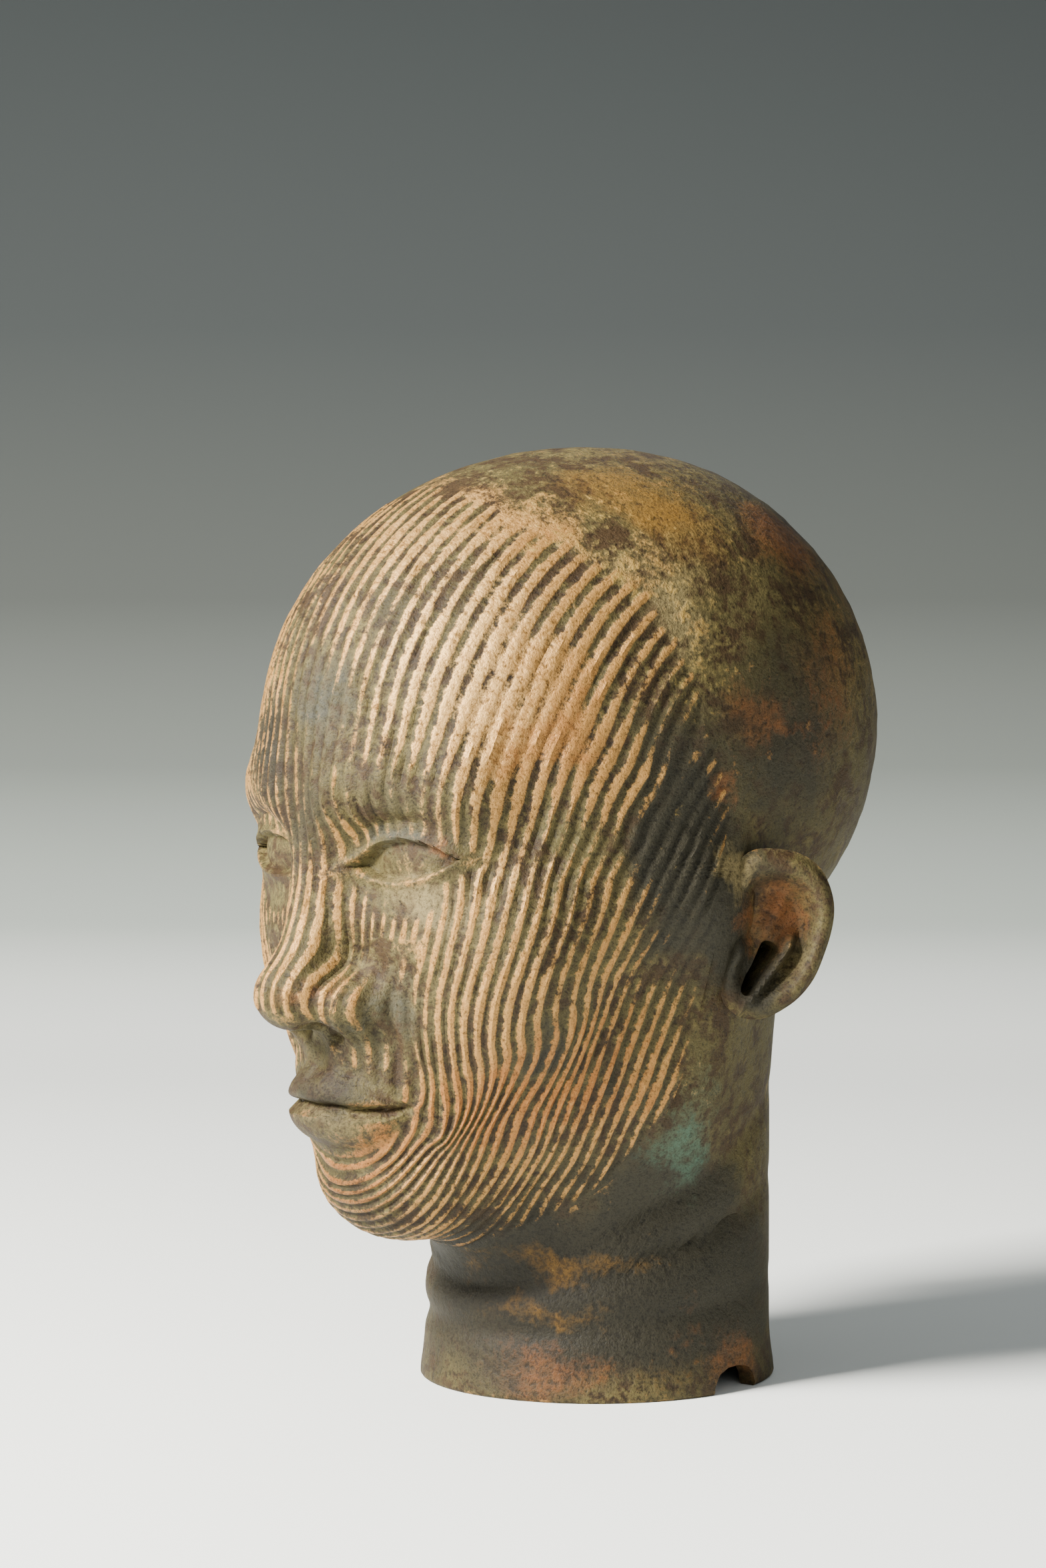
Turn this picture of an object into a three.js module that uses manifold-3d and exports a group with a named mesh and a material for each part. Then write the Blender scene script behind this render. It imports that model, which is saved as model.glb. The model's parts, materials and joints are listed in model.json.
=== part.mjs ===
// Cast copper-alloy head, hollow and open under the neck, with fine ridges over the face.
// Millimetres, Z up. The face looks along -Y and the statue's own left side is +X.
import * as THREE from 'three';
import { mergeVertices } from 'three/addons/utils/BufferGeometryUtils.js';
import Module from 'manifold-3d';

// Main sizes: width over the ears, depth from nose to back, height from rim to crown
const WIDTH = 189.6;
const DEPTH = 229.3;
const HEIGHT = 299.5;
// The carving below is drawn in parts, which are millimetres on a head of these sizes, and stretched to the
// main sizes. The wall, the ridges' depth and the notch keep their own true sizes.
const DRAWN_WIDTH = 189.6;
const DRAWN_DEPTH = 229.3;
const DRAWN_HEIGHT = 299.5;

// Skull and face masses: centre and half-axes of each rounded mass
const SKULL = { c: [0, 14, 211], r: [83, 96, 89] };
const FOREHEAD = { c: [0, -22, 210], r: [70, 81, 80] };
const CHEEK_MASS = { c: [0, -22, 158], r: [69, 74, 66] };
const JAW = { c: [0, -22, 114], r: [62, 69, 58] };
const CHIN = { c: [0, -76, 79], r: [27, 22, 20] };
const MUZZLE = { c: [0, -66, 112], r: [34, 34, 32] };
const CHEEK = { c: [36, -62, 146], r: [27, 24, 28] };
const CHEEKBONE = { a: [50, -58, 160], b: [69, -12, 162], ra: 9, rb: 6.5 };
const JAW_BRANCH = { a: [61, 2, 150], b: [52, -6, 102], ra: 10, rb: 10 };
const BROW = { a: [14, -91, 199], b: [46, -78, 199], ra: 6.5, rb: 6 };
const SOCKET = { c: [33, -104, 180], r: [20, 15, 12] };
const NOSE_BRIDGE = { a: [0, -88, 192], b: [0, -108, 143], ra: 8, rb: 9.5 };
const NOSE_TIP = { c: [0, -110.5, 139.5], r: [12.5, 12, 10.5] };
const NOSE_WING = { c: [15.5, -100, 136], r: [8.5, 11, 8.6] };
const NOSTRIL = { c: [8.2, -107, 127.6], r: [5, 7.5, 4.4] };
// The face leans forward about this point
const FACE_LEAN_DEG = 5;
const LEAN_AT = [0, 10, 165];
// Eye: ball, opening between the lids and lid thickness
const EYE_X = 32.5;
const EYE_Y = -75;
const EYE_Z = 179;
const EYE_RADIUS = 15;
const EYE_EXTRA_WIDTH = 6;
const EYE_TURN_DEG = 17;
const LID = 1.7;
const EYE_HALF_WIDTH = 18.5;
const EYE_UP = 6.8;
const EYE_DOWN = 5;
const EYE_DEEPEST = 2.6;
// Mouth
const MOUTH_Z = 104;
const MOUTH_HALF_WIDTH = 27.5;
const UPPER_LIP = 12;
const LOWER_LIP = 14;
const UPPER_LIP_OUT = 5.2;
const LOWER_LIP_OUT = 6;
// Neck: centre, half-axes, flare of the rim and three soft creases
const NECK_Y = 13;
const NECK_RX = 55;
const NECK_RY = 57;
const RIM_FLARE = 1.6;
const RIM_FLARE_HEIGHT = 9;
const CREASES = [
  { front: 34.3, rise: 34, depth: 2.5, width: 3.8 },
  { front: 20.5, rise: 13, depth: 1.7, width: 3.8 },
  { front: 40.5, rise: 61, depth: 2.4, width: 4.6 },
];
// Ridges: spacing near the midline and on the cheeks, how many each side, and their depth
const RIDGE_PITCH_MID = 3.5;
const RIDGE_PITCH_SIDE = 4.3;
const RIDGES_EACH_SIDE = 34.5;
const RIDGE_RISE = 0.35;
const GROOVE_DEPTH = 0.5;
// Casting wall
const WALL = 4.5;
// Extra wall behind the face's relief and behind the neck's creases
const FACE_BACKING = 2.2;
const CREASE_BACKING = 2.2;
// Ear: middle, the angle it stands out at, its backward lean, and the slot cut through it
const EAR_AT = [77.5, 16, 146];
const EAR_STAND_DEG = 27;
const EAR_LEAN_DEG = 6;
const EAR_HEIGHT = 11;
const EAR_ROOT = -14;
const EAR_SLOT = { from: [1.5, -1.5], to: [-6.5, -18.5], half: 2.3, out: 6, in: -24 };
// Broken arch in the rim
const NOTCH_AZIMUTH_DEG = 102;
const NOTCH_WIDTH = 21;
const NOTCH_HEIGHT = 8;
// Facets
const DENSE_COLUMNS = 19;
const MIDDLE_COLUMNS = 34;
const SCALP_STEP = 7;
const COLOUR = 0x6d6048;

const DEG = Math.PI / 180;
const STRETCH = [WIDTH / DRAWN_WIDTH, DEPTH / DRAWN_DEPTH, HEIGHT / DRAWN_HEIGHT];
const LEAN_C = Math.cos(FACE_LEAN_DEG * DEG);
const LEAN_S = Math.sin(FACE_LEAN_DEG * DEG);
const TURN_C = Math.cos(EYE_TURN_DEG * DEG);
const TURN_S = Math.sin(EYE_TURN_DEG * DEG);

// Small helpers
const clamp = (v, lo, hi) => Math.min(hi, Math.max(lo, v));
const bump = (x, c, w) => Math.exp(-(((x - c) / w) ** 2));
const ease = (a, b, x) => {
  const t = clamp((x - a) / (b - a), 0, 1);
  return t * t * (3 - 2 * t);
};
const joinSoft = (a, b, k) => {
  const h = Math.max(k - Math.abs(a - b), 0) / k;
  return Math.min(a, b) - h * h * k * 0.25;
};
const cutSoft = (a, b, k) => -joinSoft(-a, -b, k);
const lerp = (a, b, t) => a + (b - a) * t;

// Signed distance, roughly, to a rounded mass
function massDistance(x, y, z, m) {
  const px = (x - m.c[0]) / m.r[0];
  const py = (y - m.c[1]) / m.r[1];
  const pz = (z - m.c[2]) / m.r[2];
  const k0 = Math.sqrt(px * px + py * py + pz * pz);
  const qx = px / m.r[0];
  const qy = py / m.r[1];
  const qz = pz / m.r[2];
  return (k0 * (k0 - 1)) / (Math.sqrt(qx * qx + qy * qy + qz * qz) + 1e-9);
}

// Signed distance to a limb whose radius changes evenly from one end to the other
function limbDistance(x, y, z, m) {
  const abx = m.b[0] - m.a[0];
  const aby = m.b[1] - m.a[1];
  const abz = m.b[2] - m.a[2];
  const px = x - m.a[0];
  const py = y - m.a[1];
  const pz = z - m.a[2];
  const t = clamp((px * abx + py * aby + pz * abz) / (abx * abx + aby * aby + abz * abz), 0, 1);
  const dx = px - t * abx;
  const dy = py - t * aby;
  const dz = pz - t * abz;
  return Math.sqrt(dx * dx + dy * dy + dz * dz) - (m.ra + (m.rb - m.ra) * t);
}

// Outline of the opening between the lids: negative inside
function lidOpening(x, z) {
  const u = Math.min(Math.abs(x) / EYE_HALF_WIDTH, 1.4);
  const zz = z - 0.06 * x;
  const arch = Math.max(1 - u ** 2.2, -0.6);
  const mid = 0.5 * (EYE_UP - EYE_DOWN) * arch;
  const half = 0.5 * (EYE_UP + EYE_DOWN) * arch;
  const slope = Math.sqrt(1 + ((2.2 * EYE_UP / EYE_HALF_WIDTH) * u ** 1.2) ** 2);
  return (Math.abs(zz - mid) - half) / slope;
}

// Height of the line between the lips
const mouthLine = (x) => {
  const u = Math.min(Math.abs(x) / MOUTH_HALF_WIDTH, 1);
  return MOUTH_Z + 1.6 * Math.cos(Math.PI * u) * (1 - u) - 0.9 * bump(x, 0, 5);
};

// How far the lips stand forward
function lipsOut(x, z) {
  const u = Math.abs(x) / MOUTH_HALF_WIDTH;
  const uc = Math.min(u, 1);
  const line = mouthLine(x);
  const ends = Math.max(1 - uc ** 2.2, 0);
  const full = ends ** 0.45;
  let out = 0;
  if (z >= line) {
    const height = UPPER_LIP * ends ** 0.8 * (1 - 0.13 * bump(x, 0, 4.5)) + 1e-3;
    const t = clamp((z - line) / height, 0, 1);
    const swell = Math.max(Math.sin(Math.PI * (0.3 + 0.7 * t)), 0) ** 0.7;
    out = UPPER_LIP_OUT * swell * full * (1 + 0.15 * bump(x, 0, 6));
  } else {
    const height = LOWER_LIP * ends ** 0.6 + 1e-3;
    const t = clamp((line - z) / height, 0, 1);
    const swell = Math.max(Math.sin(Math.PI * (0.28 + 0.72 * t)), 0) ** 0.7;
    out = LOWER_LIP_OUT * swell * full;
  }
  return out - 4.2 * bump(z, line, 1.5) * ease(1.1, 0.9, u);
}

// Lips, the groove above them, the crease beside the nose and the hollow above the chin
function faceRelief(x, z) {
  const ax = Math.abs(x);
  let r = lipsOut(x, z);
  r += (-1.2 * bump(x, 0, 3) + 0.9 * bump(ax, 6.5, 2.8)) * bump(z, 119, 5.5);
  const t = clamp((136 - z) / 34, -0.3, 1.2);
  r += -1.8 * bump(ax, 19.5 + 15.5 * t, 5) * bump(t, 0.42, 0.42);
  r += -2.6 * bump(z, 86.5, 6.5) * bump(x, 0, 24);
  return r;
}

function neckDistance(x, y, z, fine) {
  const py = y - NECK_Y;
  const r = Math.sqrt((x / NECK_RX) ** 2 + (py / NECK_RY) ** 2);
  if (!fine) return Math.max((r - 1) * 56, z - 150);
  const back = 0.5 - 0.5 * Math.cos(Math.atan2(x, -py));
  const fade = ease(1, 0.55, back);
  let swell = RIM_FLARE * bump(z, 0, RIM_FLARE_HEIGHT);
  for (const c of CREASES) swell -= c.depth * bump(z, c.front + c.rise * back, c.width) * fade;
  return Math.max((r - 1) * 56 - swell, z - 150);
}

function toFace(y, z) {
  const qy = y - LEAN_AT[1];
  const qz = z - LEAN_AT[2];
  return [qy * LEAN_C + qz * LEAN_S + LEAN_AT[1], -qy * LEAN_S + qz * LEAN_C + LEAN_AT[2]];
}

function fromFace(y, z) {
  const qy = y - LEAN_AT[1];
  const qz = z - LEAN_AT[2];
  return [qy * LEAN_C - qz * LEAN_S + LEAN_AT[1], qy * LEAN_S + qz * LEAN_C + LEAN_AT[2]];
}

// Signed distance to the outside of the head. Without the fine forms it is the plain smooth head.
function headDistance(px, py, pz, fine) {
  const x = Math.abs(px);
  const [y, z] = toFace(py, pz);
  let d = massDistance(x, py, pz, SKULL);
  d = joinSoft(d, massDistance(x, y, z, FOREHEAD), 24);
  d = joinSoft(d, massDistance(x, y, z, CHEEK_MASS), 26);
  d = joinSoft(d, massDistance(x, y, z, JAW), 24);
  d = joinSoft(d, massDistance(x, y, z, CHIN), 26);
  d = joinSoft(d, massDistance(x, y, z, MUZZLE), 20);
  d = joinSoft(d, massDistance(x, y, z, CHEEK), 22);
  d = joinSoft(d, limbDistance(x, y, z, CHEEKBONE), 26);
  d = joinSoft(d, limbDistance(x, y, z, JAW_BRANCH), 26);
  d = joinSoft(d, limbDistance(x, y, z, BROW), 22);
  d = cutSoft(d, -massDistance(x, y, z, SOCKET), 14);
  let nose = limbDistance(x, y, z, NOSE_BRIDGE);
  nose = joinSoft(nose, massDistance(x, y, z, NOSE_TIP), 8);
  nose = joinSoft(nose, massDistance(x, y, z, NOSE_WING), 7);
  d = joinSoft(d, nose, 10);
  if (!fine) return joinSoft(d, neckDistance(px, py, pz, false), 20);
  d = cutSoft(d, -massDistance(x, y, z, NOSTRIL), 2.5);
  const front = ease(-40, -70, y);
  if (front > 0) d -= faceRelief(x, z) * front * 0.9;
  const ex = x - EYE_X;
  const ey = y - EYE_Y;
  const ez = z - EYE_Z;
  const rx = ex * TURN_C + ey * TURN_S;
  const ry = -ex * TURN_S + ey * TURN_C;
  const wide = EYE_RADIUS + EYE_EXTRA_WIDTH;
  const lid = { c: [0, 0, 0], r: [wide, EYE_RADIUS + LID, EYE_RADIUS + LID - 1] };
  d = joinSoft(d, massDistance(rx, ry, ez, lid), 7);
  const atEye = ease(-55, -70, y);
  if (atEye > 0) {
    const ball = massDistance(rx, ry, ez, { c: [0, 0, 0], r: [wide, EYE_RADIUS, EYE_RADIUS] });
    const opening = lidOpening(ex, ez);
    const inside = ease(0.6, -0.6, opening) * atEye;
    const eyeball = joinSoft(Math.max(d, ball), d + EYE_DEEPEST, 1.5);
    d = d * (1 - inside) + eyeball * inside;
    const near = atEye * ease(1.25, 1.02, Math.abs(ex) / EYE_HALF_WIDTH);
    d -= 0.8 * bump(opening, 1.3, 1.1) * near;
    const fold = lidOpening(ex * 0.86, (ez - 4) * 0.8);
    d += 0.9 * bump(fold, 0.6, 1.1) * ease(1, 5, ez) * near * bump(ex, 0, 16);
  }
  return joinSoft(d, neckDistance(px, py, pz, true), 20);
}
const outside = (x, y, z) => headDistance(x, y, z, true);
const plainHead = (x, y, z) => headDistance(x, y, z, false);

// How fast the form's value changes along each true direction
function trueGradient(form, x, y, z) {
  const h = 0.25;
  return [
    (form(x + h, y, z) - form(x - h, y, z)) / (2 * h * STRETCH[0]),
    (form(x, y + h, z) - form(x, y - h, z)) / (2 * h * STRETCH[1]),
    (form(x, y, z + h) - form(x, y, z - h)) / (2 * h * STRETCH[2]),
  ];
}

// The hollow's surface lies one wall inside the plain head
function inside(x, y, z) {
  const steep = Math.max(Math.hypot(...trueGradient(plainHead, x, y, z)), 0.3);
  const behindFace = FACE_BACKING * ease(-50, -75, y);
  const behindCreases = CREASE_BACKING * ease(12, 28, z) * ease(112, 92, z);
  return plainHead(x, y, z) / steep + WALL + Math.max(behindFace, behindCreases);
}

// Distance along a ray at which the form is met
function meet(form, o, d, start, steps, relax, lo, hi) {
  let t = start;
  for (let i = 0; i < steps; i++) {
    const v = form(o[0] + d[0] * t, o[1] + d[1] * t, o[2] + d[2] * t);
    t -= clamp(v * relax, lo, hi);
  }
  return t;
}

// Moves a point square to the surface by a true length
function raise(form, p, length) {
  const g = trueGradient(form, p[0], p[1], p[2]);
  const n = Math.hypot(...g) || 1;
  return p.map((v, i) => v + ((g[i] / n) * length) / STRETCH[i]);
}

// Linear reading of a table
function read(xs, ys, x) {
  if (x <= xs[0]) return ys[0];
  const last = xs.length - 1;
  if (x >= xs[last]) return ys[last];
  let lo = 0;
  let hi = last;
  while (hi - lo > 1) {
    const m = (lo + hi) >> 1;
    if (xs[m] <= x) lo = m;
    else hi = m;
  }
  return lerp(ys[lo], ys[hi], (x - xs[lo]) / (xs[hi] - xs[lo]));
}

// Smooth curve through knots
function curve(xs, ys, x) {
  const last = xs.length - 1;
  const v = clamp(x, xs[0], xs[last]);
  let i = 0;
  while (i < last - 1 && v >= xs[i + 1]) i++;
  const tangent = (k) => {
    const a = Math.max(k - 1, 0);
    const b = Math.min(k + 1, last);
    return (ys[b] - ys[a]) / (xs[b] - xs[a]);
  };
  const h = xs[i + 1] - xs[i];
  const t = (v - xs[i]) / h;
  return (1 + 2 * t) * (1 - t) ** 2 * ys[i] + t * (1 - t) ** 2 * h * tangent(i)
    + t * t * (3 - 2 * t) * ys[i + 1] + t * t * (t - 1) * h * tangent(i + 1);
}

// The surface is laid out in arcs that start at the midline. Three families share one centre:
// arcs about the ear-to-ear axis, arcs round the middle of the mouth, and arcs round the back of the head.
const CENTRE = [0, 5, 165];
const OUTER_REACH = 175;
const MOUTH_TURN_DEG = -33.4;
const MOUTH_TURN = MOUTH_TURN_DEG * DEG;
const fanRay = (t, a) => [Math.sin(a), -Math.cos(a) * Math.cos(t), Math.cos(a) * Math.sin(t)];
const turnRay = (u, v) => (t, a) => {
  const c = Math.cos(a);
  const s = Math.sin(a);
  const k = s * Math.sin(t);
  return [s * Math.cos(t), c * u[1] + k * v[1], c * u[2] + k * v[2]];
};
const MOUTH_AXIS = [0, -Math.cos(MOUTH_TURN), Math.sin(MOUTH_TURN)];
const MOUTH_BELOW = [0, -MOUTH_AXIS[2], MOUTH_AXIS[1]];
const lowRay = turnRay(MOUTH_AXIS, MOUTH_BELOW);
const backRay = turnRay([0, 1, 0], [0, 0, -1]);
const scale = (list) => list.map((v) => v * DEG);
// Edge of the arcs, as angles from the centre
const LOW_TURN = scale([0, 3.6, 13.9, 24.3, 32.9, 41, 51.5, 58.5, 72.5, 90]);
const LOW_EDGE = scale([80.2, 78.4, 72.2, 65.5, 59.8, 54.5, 47.3, 41.4, 34.8, 33]);
const FAN_TURN = scale([MOUTH_TURN_DEG, 0, 30, 60, 75, 90, 120, 150, 180]);
const FAN_EDGE = scale([80.2, 82.3, 81.5, 75.5, 71, 67, 62, 57, 52]);
const BACK_TURN = scale([0, 30, 60, 90]);
const BACK_EDGE = scale([52, 45, 34, 29]);
const STEP = 1.5;
const STEPS = 111;

const spaced = (a, b, n) => Array.from({ length: n }, (_, i) => a + ((b - a) * i) / (n - 1));

function makeSheet(turns, ray) {
  const angles = spaced(0, 88 * DEG, 45);
  const at = [];
  const reach = [];
  for (const t of turns) {
    const arcs = [0];
    const radii = [];
    let last = null;
    for (const a of angles) {
      const d = ray(t, a);
      const r = meet(plainHead, CENTRE, d, OUTER_REACH, 46, 0.85, -6, 12);
      const p = [d[0] * r, d[1] * r, d[2] * r];
      if (last) arcs.push(arcs[arcs.length - 1] + Math.hypot(p[0] - last[0], p[1] - last[1], p[2] - last[2]));
      radii.push(r);
      last = p;
    }
    at.push(Array.from({ length: STEPS }, (_, k) => read(arcs, angles, k * STEP)));
    reach.push(Array.from({ length: STEPS }, (_, k) => read(arcs, radii, k * STEP)));
  }
  return { turns, ray, at, reach };
}

// Evens a table out from row to row
function soften(table, width) {
  const k = Math.floor(3 * width);
  const weights = Array.from({ length: 2 * k + 1 }, (_, i) => Math.exp(-0.5 * ((i - k) / width) ** 2));
  const sum = weights.reduce((a, b) => a + b, 0);
  return table.map((row, i) => row.map((_, j) => {
    let v = 0;
    for (let m = -k; m <= k; m++) v += weights[m + k] * table[clamp(i + m, 0, table.length - 1)][j];
    return v / sum;
  }));
}

const fan = makeSheet(spaced(MOUTH_TURN, Math.PI, 140), fanRay);
const low = makeSheet(spaced(0, Math.PI / 2, 46), lowRay);
const back = makeSheet(spaced(0, Math.PI / 2, 31), backRay);
{
  const fanSoft = soften(fan.at, 9);
  const lowSoft = soften(low.at, 4);
  const backFirst = back.at[0].slice();
  const lowFirst = lowSoft[0].slice();
  low.at = lowSoft.map((row, i) => {
    const w = ease(30 * DEG, 0, low.turns[i]);
    return row.map((v, j) => v + (fanSoft[0][j] - lowFirst[j]) * w);
  });
  back.at = back.at.map((row, i) => {
    const w = ease(30 * DEG, 0, back.turns[i]);
    return row.map((v, j) => v + (fanSoft[fanSoft.length - 1][j] - backFirst[j]) * w);
  });
  fan.at = fanSoft;
}

const arcGrid = Array.from({ length: STEPS }, (_, k) => k * STEP);
function setEdge(sheet, knots, edge) {
  sheet.end = sheet.turns.map((t, i) => read(sheet.at[i], arcGrid, curve(knots, edge, t)));
}
setEdge(fan, FAN_TURN, FAN_EDGE);
setEdge(low, LOW_TURN, LOW_EDGE);
setEdge(back, BACK_TURN, BACK_EDGE);

function lookUp(sheet, table, t, s) {
  const n = sheet.turns.length;
  const fi = clamp((t - sheet.turns[0]) / (sheet.turns[1] - sheet.turns[0]), 0, n - 1.001);
  const fj = clamp(s / STEP, 0, STEPS - 1.001);
  const i = Math.floor(fi);
  const j = Math.floor(fj);
  const a = fi - i;
  const b = fj - j;
  return lerp(lerp(table[i][j], table[i][j + 1], b), lerp(table[i + 1][j], table[i + 1][j + 1], b), a);
}

// Ridge count against distance from the midline
const ridgeDistance = [0];
const ridgeCount = [0];
for (let i = 1; i <= 3200; i++) {
  const d = i * 0.05;
  const pitch = lerp(RIDGE_PITCH_MID, RIDGE_PITCH_SIDE, ease(18, 48, d - 0.025));
  ridgeDistance.push(d);
  ridgeCount.push(ridgeCount[i - 1] + 0.05 / pitch);
}
const RIDGED_WIDTH = read(ridgeCount, ridgeDistance, RIDGES_EACH_SIDE);

// Draws rows towards a line: by the share kept where they are within full, and not at all beyond none
function pinch(gap, keep, full, none) {
  return gap * (1 - (1 - keep) * ease(none, full, Math.abs(gap)));
}

// Turn about the ear axis at which the line between the lips is met, at a width across the mouth
const MOUTH_REACH = 121;
const lineAcross = spaced(0, 1.25 * MOUTH_HALF_WIDTH, 26);
const lineTurns = lineAcross.map((x) => {
  const z = mouthLine(Math.min(x, MOUTH_HALF_WIDTH));
  let y = -130;
  const raw = () => fromFace(y, z);
  for (let i = 0; i < 60; i++) y += clamp(plainHead(x, ...raw()) * 0.8, -4, 4);
  const [py, pz] = raw();
  return Math.atan2(pz - CENTRE[2], CENTRE[1] - py) / DEG;
});
function lineTurn(across) {
  const at = read(lineAcross, lineTurns, across);
  return lerp(at, MOUTH_TURN_DEG, ease(1.2, 2.2, across / MOUTH_HALF_WIDTH));
}

// Turns a ray a little about the ear axis, so that rows follow the lids and the lips
function warp(d) {
  const turn = Math.atan2(d[2], -d[1]) / DEG;
  const side = Math.abs(d[0]);
  const front = ease(100, 60, turn);
  if (front === 0) return d;
  const eyeReach = 103;
  const eyeU = Math.abs(side * eyeReach - EYE_X) / EYE_HALF_WIDTH;
  const eyeKeep = eyeU < 1 ? Math.max(1 - eyeU ** 2.2, 0.22) : lerp(0.22, 1, ease(1, 1.8, eyeU));
  const eyeTurn = 3.2 + 0.035 * (side * eyeReach - EYE_X);
  let next = eyeTurn + pinch(turn - eyeTurn, eyeKeep, 4.2, 9.5);
  const across = side * MOUTH_REACH;
  const mouthU = across / MOUTH_HALF_WIDTH;
  const corner = mouthU < 1 ? Math.max((1 - mouthU ** 2.2) ** 0.8, 0.25) : lerp(0.25, 1, ease(1, 1.6, mouthU));
  if (next > MOUTH_TURN_DEG) next = MOUTH_TURN_DEG + pinch(next - MOUTH_TURN_DEG, corner, 4.8, 9.5);
  next += (lineTurn(across) - MOUTH_TURN_DEG) * ease(16, 2.5, Math.abs(turn - MOUTH_TURN_DEG));
  next = lerp(turn, next, front) * DEG;
  const r = Math.hypot(d[1], d[2]);
  return [d[0], -Math.cos(next) * r, Math.sin(next) * r];
}

// Arc length of a column on a row. The inner columns keep their true width on the face.
function arcOf(q, end, face) {
  const trueArc = q * RIDGED_WIDTH + (end - RIDGED_WIDTH) * q ** 3;
  return trueArc * face + q * end * (1 - face);
}

function pointOn(row, q, form, offset = 0) {
  const sheet = row.sheet;
  const end = read(sheet.turns, sheet.end, row.t);
  const s = arcOf(q, end, row.face);
  const d = warp(sheet.ray(row.t, lookUp(sheet, sheet.at, row.t, s)));
  const start = lookUp(sheet, sheet.reach, row.t, s) - offset;
  const r = meet(form, CENTRE, d, start, 30, 0.9, -5, 5);
  return [CENTRE[0] + d[0] * r, CENTRE[1] + d[1] * r, CENTRE[2] + d[2] * r];
}
const BACK_TURN_LIMIT = 0.99 * Math.PI;
const fanRow = (deg) => ({ sheet: fan, t: deg * DEG, face: ease(105, 78, deg), lean: deg * DEG });
const lowRow = (deg) => ({ sheet: low, t: deg * DEG, face: ease(60, 0, deg), lean: -40 * DEG });
const backRow = (deg) => ({ sheet: back, t: deg * DEG, face: 0, lean: Math.PI });

// Where the ridges show: below the hairline and clear of the eyes, nose and mouth, whose forms are too
// tight for facets with ridges on them
const HAIR_DISTANCE = [0, 40, 65, 86, 100, 120, 141];
const HAIR_TURN = scale([64, 62, 66, 70.5, 71.6, 71.5, 72]);
function ridgeShow(p, count, distance, lean) {
  const [y, z] = toFace(p[1], p[2]);
  const x = Math.abs(p[0]);
  let m = ease(0, -2.2 * DEG, lean - read(HAIR_DISTANCE, HAIR_TURN, distance)) * ease(34.6, 34, count);
  if (y > -40) return m;
  m *= ease(1, 1.35, Math.hypot((x - EYE_X) / 23, (z - EYE_Z + 2) / 15));
  m *= ease(1, 1.3, Math.hypot(x / 33, (z - MOUTH_Z) / 20));
  m *= ease(1, 1.35, Math.hypot(x / 25, (z - 140) / 22));
  m *= ease(1, 1.3, Math.hypot(x / 17, (z - 172) / 28));
  return m;
}

// Mesh gathering: one half is made and the other is its mirror image
class Shell {
  constructor() {
    this.points = [];
    this.faces = [];
  }

  add(p) {
    this.points.push(p);
    return this.points.length - 1;
  }

  tri(a, b, c) {
    if (a !== b && b !== c && c !== a) this.faces.push([a, b, c]);
  }

  // Joins two lines of points, each entry being a parameter and a point number
  zip(one, two, flip) {
    let i = 0;
    let j = 0;
    while (i < one.length - 1 || j < two.length - 1) {
      const ni = i < one.length - 1 ? one[i + 1][0] : Infinity;
      const nj = j < two.length - 1 ? two[j + 1][0] : Infinity;
      if (ni <= nj) {
        if (flip) this.tri(one[i][1], two[j][1], one[i + 1][1]);
        else this.tri(one[i][1], one[i + 1][1], two[j][1]);
        i++;
      } else {
        if (flip) this.tri(two[j][1], two[j + 1][1], one[i][1]);
        else this.tri(two[j][1], one[i][1], two[j + 1][1]);
        j++;
      }
    }
  }
}

// Both halves as one closed geometry
function wholeGeometry(shell) {
  const positions = [];
  const put = (p, side) => positions.push(p[0] * side * STRETCH[0], p[1] * STRETCH[1], p[2] * STRETCH[2]);
  for (const [a, b, c] of shell.faces) {
    put(shell.points[a], 1);
    put(shell.points[b], 1);
    put(shell.points[c], 1);
    put(shell.points[a], -1);
    put(shell.points[c], -1);
    put(shell.points[b], -1);
  }
  const g = new THREE.BufferGeometry();
  g.setAttribute('position', new THREE.Float32BufferAttribute(positions, 3));
  return g;
}

// Rows for the outside, from the hairline down to the chin. The number beside each angle is the width it
// covers: 1 only near the middle, 2 also over the cheeks, 3 right out to the edge.
const FAN_ROWS = [
  [74, 3], [66, 1], [58, 3], [49, 2], [41, 3], [33.5, 1], [27, 3], [21.5, 1], [17, 2], [13.4, 3], [10.6, 1],
  [8.6, 2], [7.4, 1], [6.2, 2], [3.2, 3], [1, 1], [-0.1, 2], [-1.3, 1], [-4, 2], [-8, 3], [-12, 1],
  [-15, 2], [-17.5, 1], [-19.8, 1], [-22, 2], [-24.6, 1], [-28.4, 1], [-30.6, 2], [-32.4, 1],
];
const LOW_ROWS = [
  [0, 3], [12, 1], [25, 3], [38, 1], [51, 3], [64, 1], [77, 3], [90, 3],
];
const FACE_ROWS = [
  ...FAN_ROWS.map(([deg, width]) => ({ ...fanRow(deg), width })),
  ...LOW_ROWS.map(([deg, width]) => ({ ...lowRow(deg), width })),
];
const SCALP_ROWS = [
  ...[90, 68, 45, 22].map(backRow),
  ...[180, 166, 152, 138, 124, 111, 98, 86].map(fanRow),
];

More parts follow.
